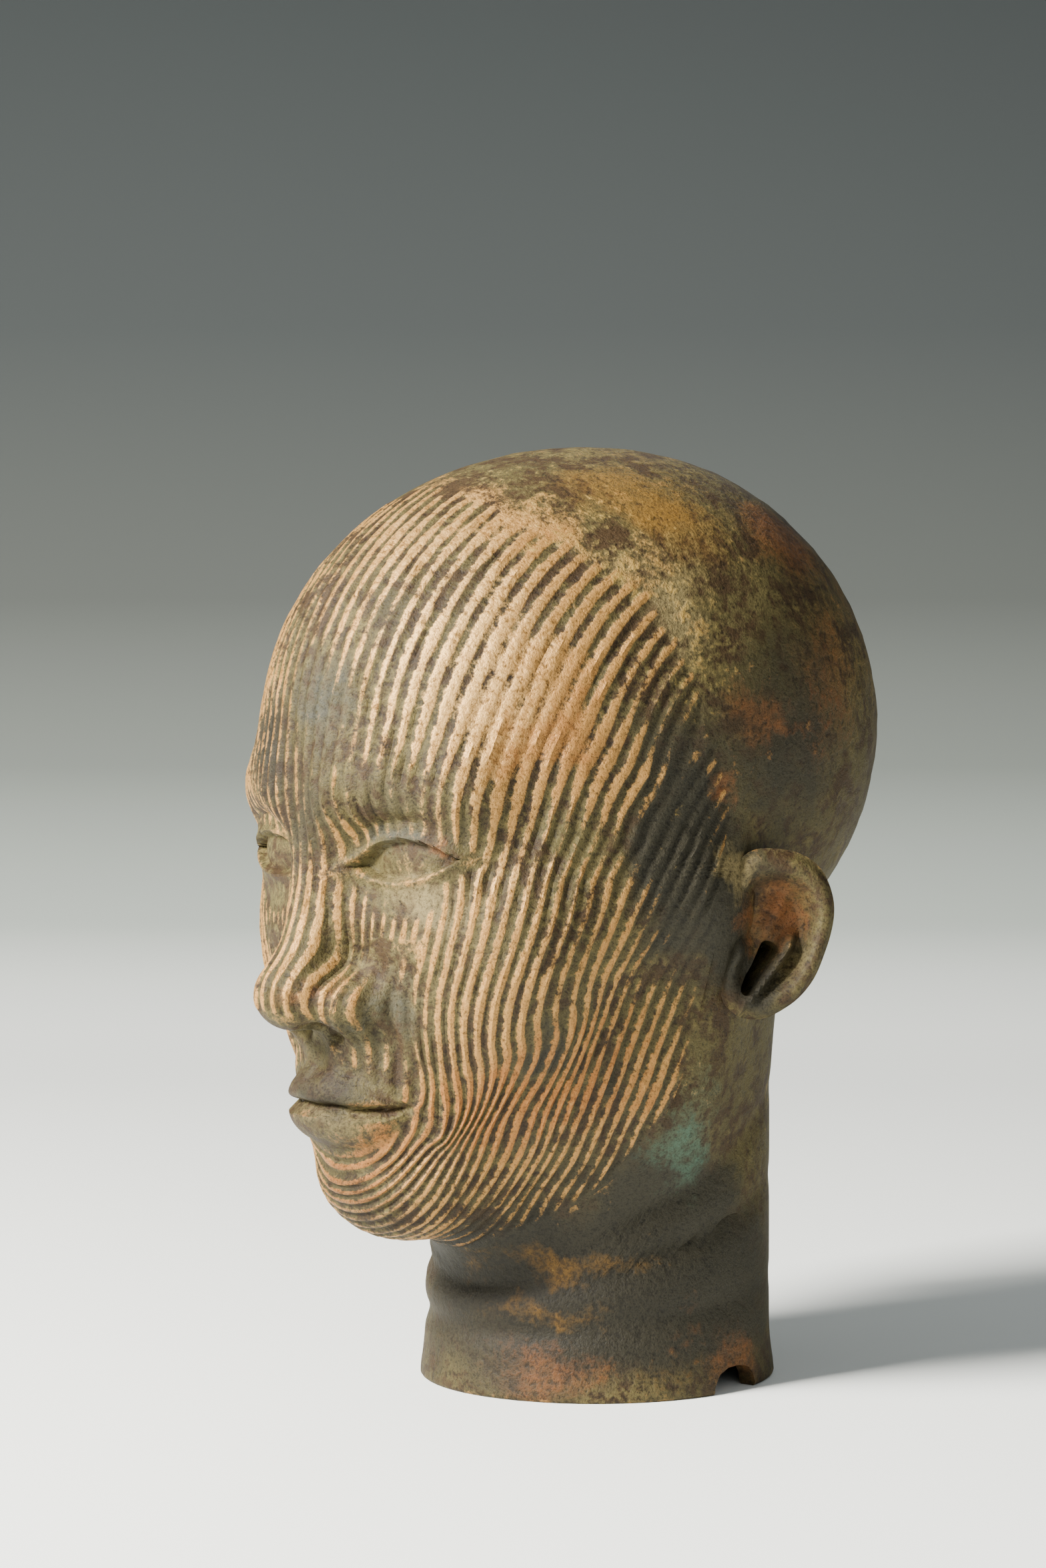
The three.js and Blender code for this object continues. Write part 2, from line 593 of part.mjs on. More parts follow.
function buildOutside() {
  const shell = new Shell();
  const columns = [];
  for (let k = 0; k <= 2 * RIDGES_EACH_SIDE; k++) {
    const count = k / 2;
    const distance = read(ridgeCount, ridgeDistance, count);
    columns.push({ count, distance, q: distance / RIDGED_WIDTH });
  }
  const last = columns.length - 1;
  const foot = shell.add(pointOn(lowRow(0), 0, outside));
  const nape = shell.add(pointOn(backRow(0), 0, outside));
  const onMidline = (row) => row.sheet !== fan && row.t > 89 * DEG;
  const place = (row, column, k) => {
    if (k === 0 && row.sheet === low) return foot;
    if (k === 0 && row.sheet === back) return nape;
    if (k === 0 && row.sheet === fan && row.t > BACK_TURN_LIMIT) return nape;
    let p = pointOn(row, column.q, outside);
    const show = ridgeShow(p, column.count, column.distance, row.lean);
    const isRidge = k % 2 === 0;
    const rise = (isRidge ? RIDGE_RISE : -GROOVE_DEPTH) * show;
    if (rise) p = raise(outside, p, rise);
    if (k === 0 || onMidline(row)) p[0] = 0;
    return shell.add(p);
  };
  // Face: all rows near the middle and fewer towards the edge
  const lines = columns.map((column, k) => {
    const line = [];
    FACE_ROWS.forEach((row, i) => {
      const need = k <= DENSE_COLUMNS ? 1 : k <= MIDDLE_COLUMNS ? 2 : 3;
      if (row.width >= need) line.push([i, place(row, column, k)]);
    });
    return line;
  });
  for (let k = 0; k < last; k++) shell.zip(lines[k], lines[k + 1], false);
  // Scalp: fewer columns
  const few = columns.map((_, k) => k).filter((k) => k % SCALP_STEP === 0 || k === last);
  const rows = SCALP_ROWS.map((row) => few.map((k) => [k, place(row, columns[k], k)]));
  rows.push(lines.map((line, k) => [k, line[0][1]]));
  for (let i = 0; i < rows.length - 1; i++) shell.zip(rows[i], rows[i + 1], true);
  // Edge from the nape over the ear to the chin
  const edge = rows.slice(0, -1).map((row) => row[row.length - 1][1]);
  edge.push(...lines[last].map((e) => e[1]));
  addNeck(shell, edge, outside, 0, true);
  return shell;
}

// Height of a crease at a turn about the neck, counted from the throat
const creaseHeight = (c, turn) => c.front + c.rise * (0.5 - 0.5 * Math.cos(turn));

// Carries the shell from its edge down to a level foot, with rows along the creases
function addNeck(shell, edge, form, foot, detailed) {
  const points = edge.map((id) => shell.points[id]);
  const turns = points.map((p) => Math.atan2(p[0], -(p[1] - NECK_Y)));
  for (let i = turns.length - 2; i >= 0; i--) turns[i] = Math.max(turns[i], turns[i + 1] + 1e-4);
  turns[0] = Math.PI;
  turns[turns.length - 1] = 0;
  const along = [0];
  for (let i = points.length - 1; i > 0; i--) {
    const a = points[i];
    const b = points[i - 1];
    along.unshift(along[0] + Math.hypot(a[0] - b[0], a[1] - b[1], a[2] - b[2]));
  }
  const footTurns = along.map((s) => (s / along[0]) * Math.PI);
  const [lowCrease, rimCrease, highCrease] = [CREASES[0], CREASES[1], CREASES[2]];
  const levels = [];
  const follow = (crease, shift) => levels.push((turn) => creaseHeight(crease, turn) + shift);
  if (detailed) {
    levels.push(null, null);
    follow(highCrease, 6.5);
    follow(highCrease, 0);
    levels.push((turn) => (creaseHeight(highCrease, turn) + creaseHeight(lowCrease, turn)) / 2);
    follow(lowCrease, 0);
    levels.push((turn) => (creaseHeight(rimCrease, turn) + creaseHeight(lowCrease, turn)) / 2);
    follow(rimCrease, 0);
    follow(rimCrease, -6.5);
    levels.push(() => 6);
    levels.push(() => 0);
  } else {
    levels.push(null, null, null, (turn) => 36 + 30 * (turn / Math.PI), () => 20, () => foot);
  }
  const firstSet = levels.findIndex((level) => level !== null);
  let above = edge;
  const heights = points.map((p) => p[2]);
  levels.forEach((level, n) => {
    const next = points.map((p, i) => {
      let z = heights[i];
      let turn = turns[i];
      for (let k = 0; k < 4; k++) {
        if (level) z = level(turn);
        else z = lerp(p[2], levels[firstSet](turn), (n + 1) / (firstSet + 1));
        const room = detailed ? (levels.length - n) * 0.9 : 3;
        const most = lerp(p[2], foot, (n + 1) / (levels.length + 3)) - 0.6;
        if (n < levels.length - 1) z = clamp(z, foot + room, most);
        const v = clamp((p[2] - z) / (p[2] - foot), 0, 1);
        turn = lerp(turns[i], footTurns[i], v);
      }
      const d = [Math.sin(turn), -Math.cos(turn), 0];
      const r = meet(form, [0, NECK_Y, z], d, 90, 60, 0.85, -6, 12);
      const q = [d[0] * r, NECK_Y + d[1] * r, z];
      if (i === 0 || i === points.length - 1) q[0] = 0;
      return shell.add(q);
    });
    shell.zip(above.map((id, i) => [i, id]), next.map((id, i) => [i, id]), false);
    above = next;
  });
  const middle = shell.add([0, NECK_Y, foot]);
  for (let i = 0; i < above.length - 1; i++) shell.tri(above[i], above[i + 1], middle);
}

function buildHollow() {
  const shell = new Shell();
  const rowsList = [
    ...[90, 60, 30].map(backRow),
    ...[180, 158, 136, 114, 92, 70, 50, 32, 16, 2, -12].map(fanRow),
    ...[0, 22, 45, 68, 90].map(lowRow),
  ];
  const qs = spaced(0, 1, 8);
  const foot = shell.add(pointOn(lowRow(0), 0, inside, WALL));
  const nape = shell.add(pointOn(backRow(0), 0, inside, WALL));
  const rows = rowsList.map((row) => qs.map((q, k) => {
    if (k === 0 && row.sheet === low) return [k, foot];
    if (k === 0 && (row.sheet === back || row.t > BACK_TURN_LIMIT)) return [k, nape];
    const p = pointOn(row, q, inside, WALL);
    if (k === 0 || (row.sheet !== fan && row.t > 89 * DEG)) p[0] = 0;
    return [k, shell.add(p)];
  }));
  for (let i = 0; i < rows.length - 1; i++) shell.zip(rows[i], rows[i + 1], true);
  addNeck(shell, rows.map((row) => row[row.length - 1][1]), inside, -6, false);
  return shell;
}

// Ear outline in its own plane: u runs back and v up, mm from the ear's middle
const EAR_TURN = scale([-180, -150, -118, -96, -70, -45, -15, 10, 40, 65, 92, 115, 145, 180]);
const EAR_REACH = [12, 15, 27, 28.5, 24, 20.5, 17.5, 18, 22, 26, 27.5, 27, 17, 12];
// Rings of the ear from the bowl's middle out over the rim and back to the root
const EAR_RINGS = [0.22, 0.45, 0.62, 0.76, 0.88, 1, 0.94, 0.76, 0.56];
const EAR_SECTORS = 26;
const earReach = (phi) => curve(EAR_TURN, EAR_REACH, phi);

// How far the rim stands out round the ear
function earRim(phi) {
  const atFront = bump(phi, Math.PI, 0.95) + bump(phi, -Math.PI, 0.95);
  const atLobe = bump(phi, -105 * DEG, 0.55);
  return EAR_HEIGHT * (1 - 0.55 * Math.min(atFront, 1) - 0.4 * atLobe);
}

// Height of the ear's face above its plane
function earFace(u, v, rho, phi) {
  const rim = earRim(phi);
  const bowl = 1.2 + 0.12 * rim;
  let h = lerp(bowl, rim, ease(0.5, 0.8, rho));
  h -= ease(0.88, 1, rho) * 2.2;
  const along = clamp((v - 2) / -26, 0, 1);
  const lineU = lerp(7, -8, along ** 1.25);
  const inRange = ease(4, -2, v) * ease(-30, -22, v);
  h = Math.max(h, bowl + 6.2 * bump(u, lineU, 2.4) * inRange);
  const fold = lerp(-2, 6, clamp((v + 2) / 22, 0, 1));
  h += 1.6 * bump(u, fold, 3) * ease(-4, 3, v) * ease(20, 12, v);
  h += 3.4 * Math.exp(-((u + 9) ** 2 / 14 + (v + 5) ** 2 / 26));
  return h;
}

function earFrame(side) {
  const c = Math.cos(EAR_STAND_DEG * DEG);
  const s = Math.sin(EAR_STAND_DEG * DEG);
  const lc = Math.cos(EAR_LEAN_DEG * DEG);
  const ls = Math.sin(EAR_LEAN_DEG * DEG);
  return (u, v, w) => {
    const u2 = u * lc + v * ls;
    const v2 = -u * ls + v * lc;
    const x = EAR_AT[0] + u2 * s + w * c;
    const y = EAR_AT[1] + u2 * c - w * s;
    return [side * x, y, EAR_AT[2] + v2];
  };
}

function earGeometry(side) {
  const frame = earFrame(side);
  const points = [];
  const faces = [];
  const add = (u, v, w) => points.push(frame(u, v, w)) - 1;
  const rings = EAR_RINGS.map((rho, n) => {
    const ring = [];
    for (let k = 0; k < EAR_SECTORS; k++) {
      const phi = -Math.PI + (2 * Math.PI * k) / EAR_SECTORS;
      const atSlot = Math.max(bump(phi, -110 * DEG, 0.75), bump(phi, 250 * DEG, 0.75));
      const r = earReach(phi) * (n > 6 ? lerp(rho, 0.88, atSlot) : rho);
      const u = r * Math.cos(phi);
      const v = r * Math.sin(phi);
      let w = earFace(u, v, rho, phi);
      if (n === 6) w = Math.min(earRim(phi) - 3.6, 4.4);
      if (n === 7) w = Math.min(earRim(phi) - 8, 0.5);
      if (n === 8) w = EAR_ROOT;
      ring.push(add(u, v, w));
    }
    return ring;
  });
  const top = add(0, 0, earFace(0, 0, 0, 0));
  const root = add(0, 0, EAR_ROOT);
  const tri = (a, b, c) => faces.push(side > 0 ? [a, b, c] : [a, c, b]);
  for (let k = 0; k < EAR_SECTORS; k++) {
    const m = (k + 1) % EAR_SECTORS;
    tri(top, rings[0][k], rings[0][m]);
    for (let n = 0; n < rings.length - 1; n++) {
      tri(rings[n][k], rings[n + 1][k], rings[n + 1][m]);
      tri(rings[n][k], rings[n + 1][m], rings[n][m]);
    }
    tri(rings[8][k], root, rings[8][m]);
  }
  return indexed(points, faces);
}

function indexed(points, faces) {
  const g = new THREE.BufferGeometry();
  const stretched = points.map((p) => p.map((v, i) => v * STRETCH[i]));
  g.setAttribute('position', new THREE.Float32BufferAttribute(stretched.flat(), 3));
  g.setIndex(faces.flat());
  return g;
}

// Slanted slot through the ear's bowl and the wall behind it
function slotGeometry(side) {
  const frame = earFrame(side);
  const { from, to, half } = EAR_SLOT;
  const dx = to[0] - from[0];
  const dy = to[1] - from[1];
  const long = Math.hypot(dx, dy);
  const ax = [dx / long, dy / long];
  const outline = [];
  for (let k = 0; k < 12; k++) {
    const a = ((k + 0.5) / 12) * 2 * Math.PI;
    const shift = Math.cos(a) > 0 ? long / 2 - half : half - long / 2;
    const e = Math.cos(a) * half + shift;
    const f = Math.sin(a) * half * (Math.cos(a) > 0 ? 1.2 : 0.8);
    const mid = [(from[0] + to[0]) / 2, (from[1] + to[1]) / 2];
    outline.push([mid[0] + ax[0] * e - ax[1] * f, mid[1] + ax[1] * e + ax[0] * f]);
  }
  const points = [];
  for (const w of [EAR_SLOT.in, EAR_SLOT.out]) for (const [u, v] of outline) points.push(frame(u, v, w));
  const faces = [];
  const tri = (a, b, c) => faces.push(side > 0 ? [a, b, c] : [a, c, b]);
  const n = outline.length;
  for (let k = 0; k < n; k++) {
    const m = (k + 1) % n;
    tri(k, m, n + m);
    tri(k, n + m, n + k);
    if (k > 0 && m > 0) {
      tri(0, m, k);
      tri(n, n + k, n + m);
    }
  }
  return indexed(points, faces);
}

// Slightly uneven arch broken out of the rim
function notchGeometry() {
  const half = NOTCH_WIDTH / 2;
  const h = NOTCH_HEIGHT;
  const outline = [
    [-half - 0.4, -5], [half + 0.3, -5], [half, 1.4], [half - 0.9, 4.2], [half - 2.8, h - 1.6], [half - 5.6, h - 0.5],
    [1.2, h], [-3.6, h - 0.2], [2.6 - half, h - 1.9], [1.1 - half, h - 4.1], [-half, 2],
  ];
  const shape = new THREE.Shape(outline.map(([x, y]) => new THREE.Vector2(x, y)));
  const near = 0.55 * NECK_RX * STRETCH[0];
  const g = new THREE.ExtrudeGeometry(shape, { depth: NECK_RX * STRETCH[0], bevelEnabled: false });
  const m = new THREE.Matrix4();
  const a = NOTCH_AZIMUTH_DEG * DEG;
  const out = new THREE.Vector3(Math.sin(a), -Math.cos(a), 0);
  const up = new THREE.Vector3(0, 0, 1);
  const across = new THREE.Vector3().crossVectors(up, out);
  m.makeBasis(across, up, out);
  m.setPosition(out.x * near, NECK_Y * STRETCH[1] + out.y * near, 0);
  g.applyMatrix4(m);
  return g;
}

const wasm = await Module();
wasm.setup();

function toSolid(geometry) {
  const g = geometry.clone();
  g.deleteAttribute('normal');
  g.deleteAttribute('uv');
  const merged = mergeVertices(g, 1e-3);
  const mesh = new wasm.Mesh({
    numProp: 3,
    vertProperties: new Float32Array(merged.attributes.position.array),
    triVerts: new Uint32Array(merged.index.array),
  });
  return new wasm.Manifold(mesh);
}

let solid = toSolid(wholeGeometry(buildOutside()));
solid = solid.add(toSolid(earGeometry(1))).add(toSolid(earGeometry(-1)));
solid = solid.subtract(toSolid(wholeGeometry(buildHollow())));
solid = solid.subtract(toSolid(slotGeometry(1))).subtract(toSolid(slotGeometry(-1)));
solid = solid.subtract(toSolid(notchGeometry()));

const result = solid.getMesh();
const geometry = new THREE.BufferGeometry();
const stride = result.numProp;
const flat = new Float32Array((result.vertProperties.length / stride) * 3);
for (let i = 0; i < flat.length / 3; i++) {
  for (let k = 0; k < 3; k++) flat[i * 3 + k] = result.vertProperties[i * stride + k];
}
geometry.setAttribute('position', new THREE.BufferAttribute(flat, 3));
geometry.setIndex(new THREE.BufferAttribute(new Uint32Array(result.triVerts), 1));
geometry.computeBoundingBox();
const box = geometry.boundingBox;
geometry.translate(-(box.min.x + box.max.x) / 2, -(box.min.y + box.max.y) / 2, -box.min.z);
geometry.computeVertexNormals();

const bronze = new THREE.MeshStandardMaterial({ color: COLOUR, roughness: 0.55, metalness: 0.6 });
bronze.name = 'bronze';
const head = new THREE.Mesh(geometry, bronze);
head.name = 'bronze_head';
const part = new THREE.Group();
part.name = 'ridged_bronze_head';
part.add(head);

export default part;
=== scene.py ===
"""Hollow cast copper-alloy head with fine ridges over the face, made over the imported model's frame."""
import json
import logging
import math
from dataclasses import dataclass, field
from enum import Enum
from typing import Callable, Sequence

import bpy
import numpy as np
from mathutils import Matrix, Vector

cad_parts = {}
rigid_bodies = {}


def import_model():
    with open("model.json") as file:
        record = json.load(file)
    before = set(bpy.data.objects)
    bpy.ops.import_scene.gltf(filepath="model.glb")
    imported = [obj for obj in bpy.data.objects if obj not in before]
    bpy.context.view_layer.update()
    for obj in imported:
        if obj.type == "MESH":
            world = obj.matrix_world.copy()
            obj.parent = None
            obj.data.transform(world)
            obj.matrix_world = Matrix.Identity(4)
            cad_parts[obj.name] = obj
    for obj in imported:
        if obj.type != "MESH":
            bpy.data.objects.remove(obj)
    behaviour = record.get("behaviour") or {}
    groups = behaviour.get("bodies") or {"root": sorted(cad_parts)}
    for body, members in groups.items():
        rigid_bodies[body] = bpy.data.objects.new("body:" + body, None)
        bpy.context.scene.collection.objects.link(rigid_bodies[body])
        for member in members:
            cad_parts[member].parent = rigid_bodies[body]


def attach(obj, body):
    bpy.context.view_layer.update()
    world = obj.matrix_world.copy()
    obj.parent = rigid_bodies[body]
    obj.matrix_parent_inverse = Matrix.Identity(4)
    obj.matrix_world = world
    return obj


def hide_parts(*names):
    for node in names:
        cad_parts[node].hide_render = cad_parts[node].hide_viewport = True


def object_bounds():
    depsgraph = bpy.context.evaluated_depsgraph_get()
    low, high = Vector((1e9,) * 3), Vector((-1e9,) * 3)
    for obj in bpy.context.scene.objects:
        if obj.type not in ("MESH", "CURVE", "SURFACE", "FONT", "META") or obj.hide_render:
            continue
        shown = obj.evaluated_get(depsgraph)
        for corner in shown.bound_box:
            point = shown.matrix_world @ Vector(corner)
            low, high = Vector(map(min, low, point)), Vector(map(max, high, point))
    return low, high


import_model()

Array = np.ndarray
Form = Callable[[Array], Array]
Way = Callable[[Array, Array], Array]
Triple = tuple[float, float, float]
Pair = tuple[float, float]
Row = tuple[float, ...]
Piece = bpy.types.Object
Socket = bpy.types.NodeSocket
MM = 0.001
CAD_BOX = [list(corner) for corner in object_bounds()]
log = logging.getLogger("head")


# Small curves

def bell(x: Array, middle: float | Array, width: float | Array) -> Array:
    """Gives a bell of height one about a middle value."""
    return np.exp(-(((x - middle) / width) ** 2))


def ease(start: float, end: float, x: Array | float) -> Array:
    """Rises smoothly from nought at start to one at end."""
    t = np.clip((x - start) / (end - start), 0.0, 1.0)
    return t * t * (3.0 - 2.0 * t)


def arch(u: Array) -> Array:
    """Falls from one in the middle of a feature to nought at its end, where u is one."""
    return np.clip(1 - np.clip(u, 0, 1) ** 2.2, 0, 1)


def join_soft(a: Array, b: Array, blend: float) -> Array:
    """Joins two distances with a fillet of the given size."""
    h = np.maximum(blend - np.abs(a - b), 0.0) / blend
    return np.minimum(a, b) - h * h * blend * 0.25


def cut_soft(a: Array, b: Array, blend: float) -> Array:
    """Takes one form out of another with a soft edge."""
    return -join_soft(-a, -b, blend)


def knot_curve(xs: Array, ys: Array, x: Array | float) -> Array:
    """Reads a smooth curve through knots.

    Args:
        xs: Places of the knots, rising.
        ys: Values at the knots.
        x: Places to read.

    Returns:
        The values at x.
    """
    x = np.clip(x, xs[0], xs[-1])
    i = np.clip(np.searchsorted(xs, x, "right") - 1, 0, len(xs) - 2)
    h = xs[i + 1] - xs[i]
    m = np.empty(len(xs))
    m[1:-1] = (ys[2:] - ys[:-2]) / (xs[2:] - xs[:-2])
    m[0] = (ys[1] - ys[0]) / (xs[1] - xs[0])
    m[-1] = (ys[-1] - ys[-2]) / (xs[-1] - xs[-2])
    t = (x - xs[i]) / h
    return ((1 + 2 * t) * (1 - t) ** 2 * ys[i] + t * (1 - t) ** 2 * h * m[i]
            + t * t * (3 - 2 * t) * ys[i + 1] + t * t * (t - 1) * h * m[i + 1])


# The head's form, in mm, with the face along -Y and the neck's rim at the floor

@dataclass(frozen=True)
class Mass:
    """Rounded mass with a centre and three half-axes."""

    centre: Triple
    half: Triple

    def distance(self, points: Array) -> Array:
        """Gives the distance to the mass, negative inside."""
        half = np.array(self.half)
        q = (points - np.array(self.centre)) / half
        near = np.sqrt((q * q).sum(-1))
        q = q / half
        return near * (near - 1.0) / (np.sqrt((q * q).sum(-1)) + 1e-9)


@dataclass(frozen=True)
class Limb:
    """Round limb whose radius changes evenly from one end to the other."""

    start: Triple
    end: Triple
    start_radius: float
    end_radius: float

    def distance(self, points: Array) -> Array:
        """Gives the distance to the limb, negative inside."""
        a = np.array(self.start)
        along = np.array(self.end) - a
        t = np.clip(((points - a) @ along) / (along @ along), 0, 1)
        gap = np.linalg.norm(points - a - t[:, None] * along, axis=1)
        return gap - (self.start_radius + (self.end_radius - self.start_radius) * t)


@dataclass(frozen=True)
class Crease:
    """Soft crease round the neck, which climbs from the throat to the nape and fades there."""

    front: float
    rise: float
    depth: float
    width: float


@dataclass(frozen=True)
class Eye:
    """Eyeball, lids and the opening between them."""

    x: float = 32.5
    y: float = -75.0
    z: float = 179.0
    radius: float = 15.0
    extra_width: float = 6.0
    turn: float = math.radians(17)
    half_width: float = 18.5
    up: float = 6.8
    down: float = 5.0
    lid: float = 1.7
    deepest: float = 2.6
    slant: float = 0.06
    lid_blend: float = 7
    ball_blend: float = 1.5
    worked_y: Pair = (-55, -70)
    opening_soft: float = 0.6
    corner: Pair = (1.25, 1.02)
    edge_height: float = 0.8
    edge_at: float = 1.3
    edge_half: float = 1.1
    fold_depth: float = 0.9
    fold_up: float = 4.0
    fold_at: float = 0.6
    fold_z: Pair = (1, 5)
    fold_half: float = 16
    clear_from: float = 0.5
    clear_to: float = 2.6
    under_z: float = 8.5
    under_half: Pair = (1.55, 7.0)
    under_soft: float = 3.0

    def opening(self, x: Array, z: Array) -> Array:
        """Gives a distance from the edge of the opening, negative inside.

        Args:
            x: Places across, from the eye's middle.
            z: Heights, from the eye's middle.

        Returns:
            Distances.
        """
        u = np.clip(np.abs(x) / self.half_width, 0, 1.4)
        arch = np.maximum(1 - u ** 2.2, -0.6)
        middle = 0.5 * (self.up - self.down) * arch
        half = 0.5 * (self.up + self.down) * arch
        steep = np.sqrt(1 + (2.2 * self.up / self.half_width * u ** 1.2) ** 2)
        return (np.abs(z - self.slant * x - middle) - half) / steep

    def add(self, d: Array, x: Array, y: Array, z: Array) -> Array:
        """Works the lids, the eyeball and the fold over it into a distance.

        Args:
            d: Distances so far.
            x: Places across.
            y: Places along the face.
            z: Heights.

        Returns:
            The new distances.
        """
        ex, ey, ez = x - self.x, y - self.y, z - self.z
        c, s = math.cos(self.turn), math.sin(self.turn)
        turned = np.stack([ex * c + ey * s, ey * c - ex * s, ez], -1)
        wide = self.radius + self.extra_width
        lid = Mass((0, 0, 0), (wide, self.radius + self.lid, self.radius + self.lid - 1))
        d = join_soft(d, lid.distance(turned), self.lid_blend)
        ball = Mass((0, 0, 0), (wide, self.radius, self.radius)).distance(turned)
        opening = self.opening(ex, ez)
        worked = ease(*self.worked_y, y)
        inside = ease(self.opening_soft, -self.opening_soft, opening) * worked
        eyeball = join_soft(np.maximum(d, ball), d + self.deepest, self.ball_blend)
        d = d * (1 - inside) + eyeball * inside
        near = worked * ease(*self.corner, np.abs(ex) / self.half_width)
        d = d - self.edge_height * bell(opening, self.edge_at, self.edge_half) * near
        fold = bell(self.opening(ex * 0.86, (ez - self.fold_up) * 0.80), self.fold_at, self.edge_half)
        return d + self.fold_depth * fold * ease(*self.fold_z, ez) * near * bell(ex, 0, self.fold_half)

    def clear(self, x: Array, z: Array) -> Array:
        """Gives nought over the lids and the plain skin under them, and one where ridges may run."""
        ex, ez = x - self.x, z - self.z
        lids = ease(self.clear_from, self.clear_to, self.opening(ex * 0.84, (ez + 1) * 0.8))
        wide, half = self.under_half
        return lids * ease(0.0, self.under_soft, np.hypot((ex - 1.0) / wide, ez + self.under_z) - half)


@dataclass(frozen=True)
class Mouth:
    """Closed lips."""

    z: float = 104.0
    half_width: float = 27.5
    upper: float = 12.0
    lower: float = 14.0
    upper_out: float = 5.2
    lower_out: float = 6.0
    line_depth: float = 4.2
    line_width: float = 1.5
    clear_up: float = 13
    clear_down: float = 15

    def line(self, x: Array) -> Array:
        """Gives the height of the line between the lips."""
        u = np.clip(np.abs(x) / self.half_width, 0, 1)
        return self.z + 1.6 * np.cos(math.pi * u) * (1 - u) - 0.9 * bell(x, 0, 5)

    def swell(self, x: Array, z: Array) -> Array:
        """Gives how far the lips stand forward.

        Args:
            x: Places across.
            z: Heights.

        Returns:
            Forward reliefs.
        """
        u = np.abs(x) / self.half_width
        line = self.line(x)
        ends = arch(u)
        top = self.upper * ends ** 0.8 * (1 - 0.13 * bell(x, 0, 4.5)) + 1e-3
        low = self.lower * ends ** 0.6 + 1e-3
        up = np.clip((z - line) / top, 0, 1)
        down = np.clip((line - z) / low, 0, 1)
        rise = np.where(z >= line, np.sin(math.pi * (0.30 + 0.70 * up)), 0)
        fall = np.where(z < line, np.sin(math.pi * (0.28 + 0.72 * down)), 0)
        out = self.upper_out * np.maximum(rise, 0) ** 0.7 * (1 + 0.15 * bell(x, 0, 6))
        out = (out + self.lower_out * np.maximum(fall, 0) ** 0.7) * ends ** 0.45
        return out - self.line_depth * bell(z, line, self.line_width) * ease(1.10, 0.9, u)

    def clear(self, x: Array, z: Array) -> Array:
        """Gives nought over the lips and one where ridges may run.

        Args:
            x: Places across.
            z: Heights.

        Returns:
            Shares.
        """
        u = np.clip(x / self.half_width, 0, 3)
        ends = arch(u)
        above = z - self.z - self.clear_up * ends ** 0.8
        below = self.z - self.clear_down * ends ** 0.6 - z
        beyond = np.where(z > self.z, above, below)
        return np.maximum(ease(0.5, 3.5, beyond), ease(1.03, 1.14, u))


@dataclass(frozen=True)
class Folds:
    """Groove under the nose, folds beside the mouth and hollow over the chin, all soft."""

    groove_depth: float = 1.2
    groove_half: float = 3
    edge_height: float = 0.9
    edge_x: float = 6.5
    edge_half: float = 2.8
    groove_z: float = 119
    groove_long: float = 5.5
    side_depth: float = 1.8
    side_x: float = 19.5
    side_slant: float = 15.5
    side_half: float = 5
    side_top: float = 136
    side_long: float = 34.0
    side_middle: float = 0.42
    hollow_depth: float = 2.6
    hollow_z: float = 86.5
    hollow_long: float = 6.5
    hollow_half: float = 24

    def relief(self, out: Array, x: Array, z: Array) -> Array:
        """Works them into a forward relief.

        Args:
            out: Forward reliefs so far.
            x: Places across.
            z: Heights.

        Returns:
            The new reliefs.
        """
        side = np.abs(x)
        groove = -self.groove_depth * bell(x, 0, self.groove_half)
        groove = groove + self.edge_height * bell(side, self.edge_x, self.edge_half)
        out = out + groove * bell(z, self.groove_z, self.groove_long)
        t = np.clip((self.side_top - z) / self.side_long, -0.3, 1.2)
        fold = self.side_depth * bell(side, self.side_x + self.side_slant * t, self.side_half)
        out = out - fold * bell(t, self.side_middle, self.side_middle)
        hollow = self.hollow_depth * bell(z, self.hollow_z, self.hollow_long)
        return out - hollow * bell(x, 0, self.hollow_half)


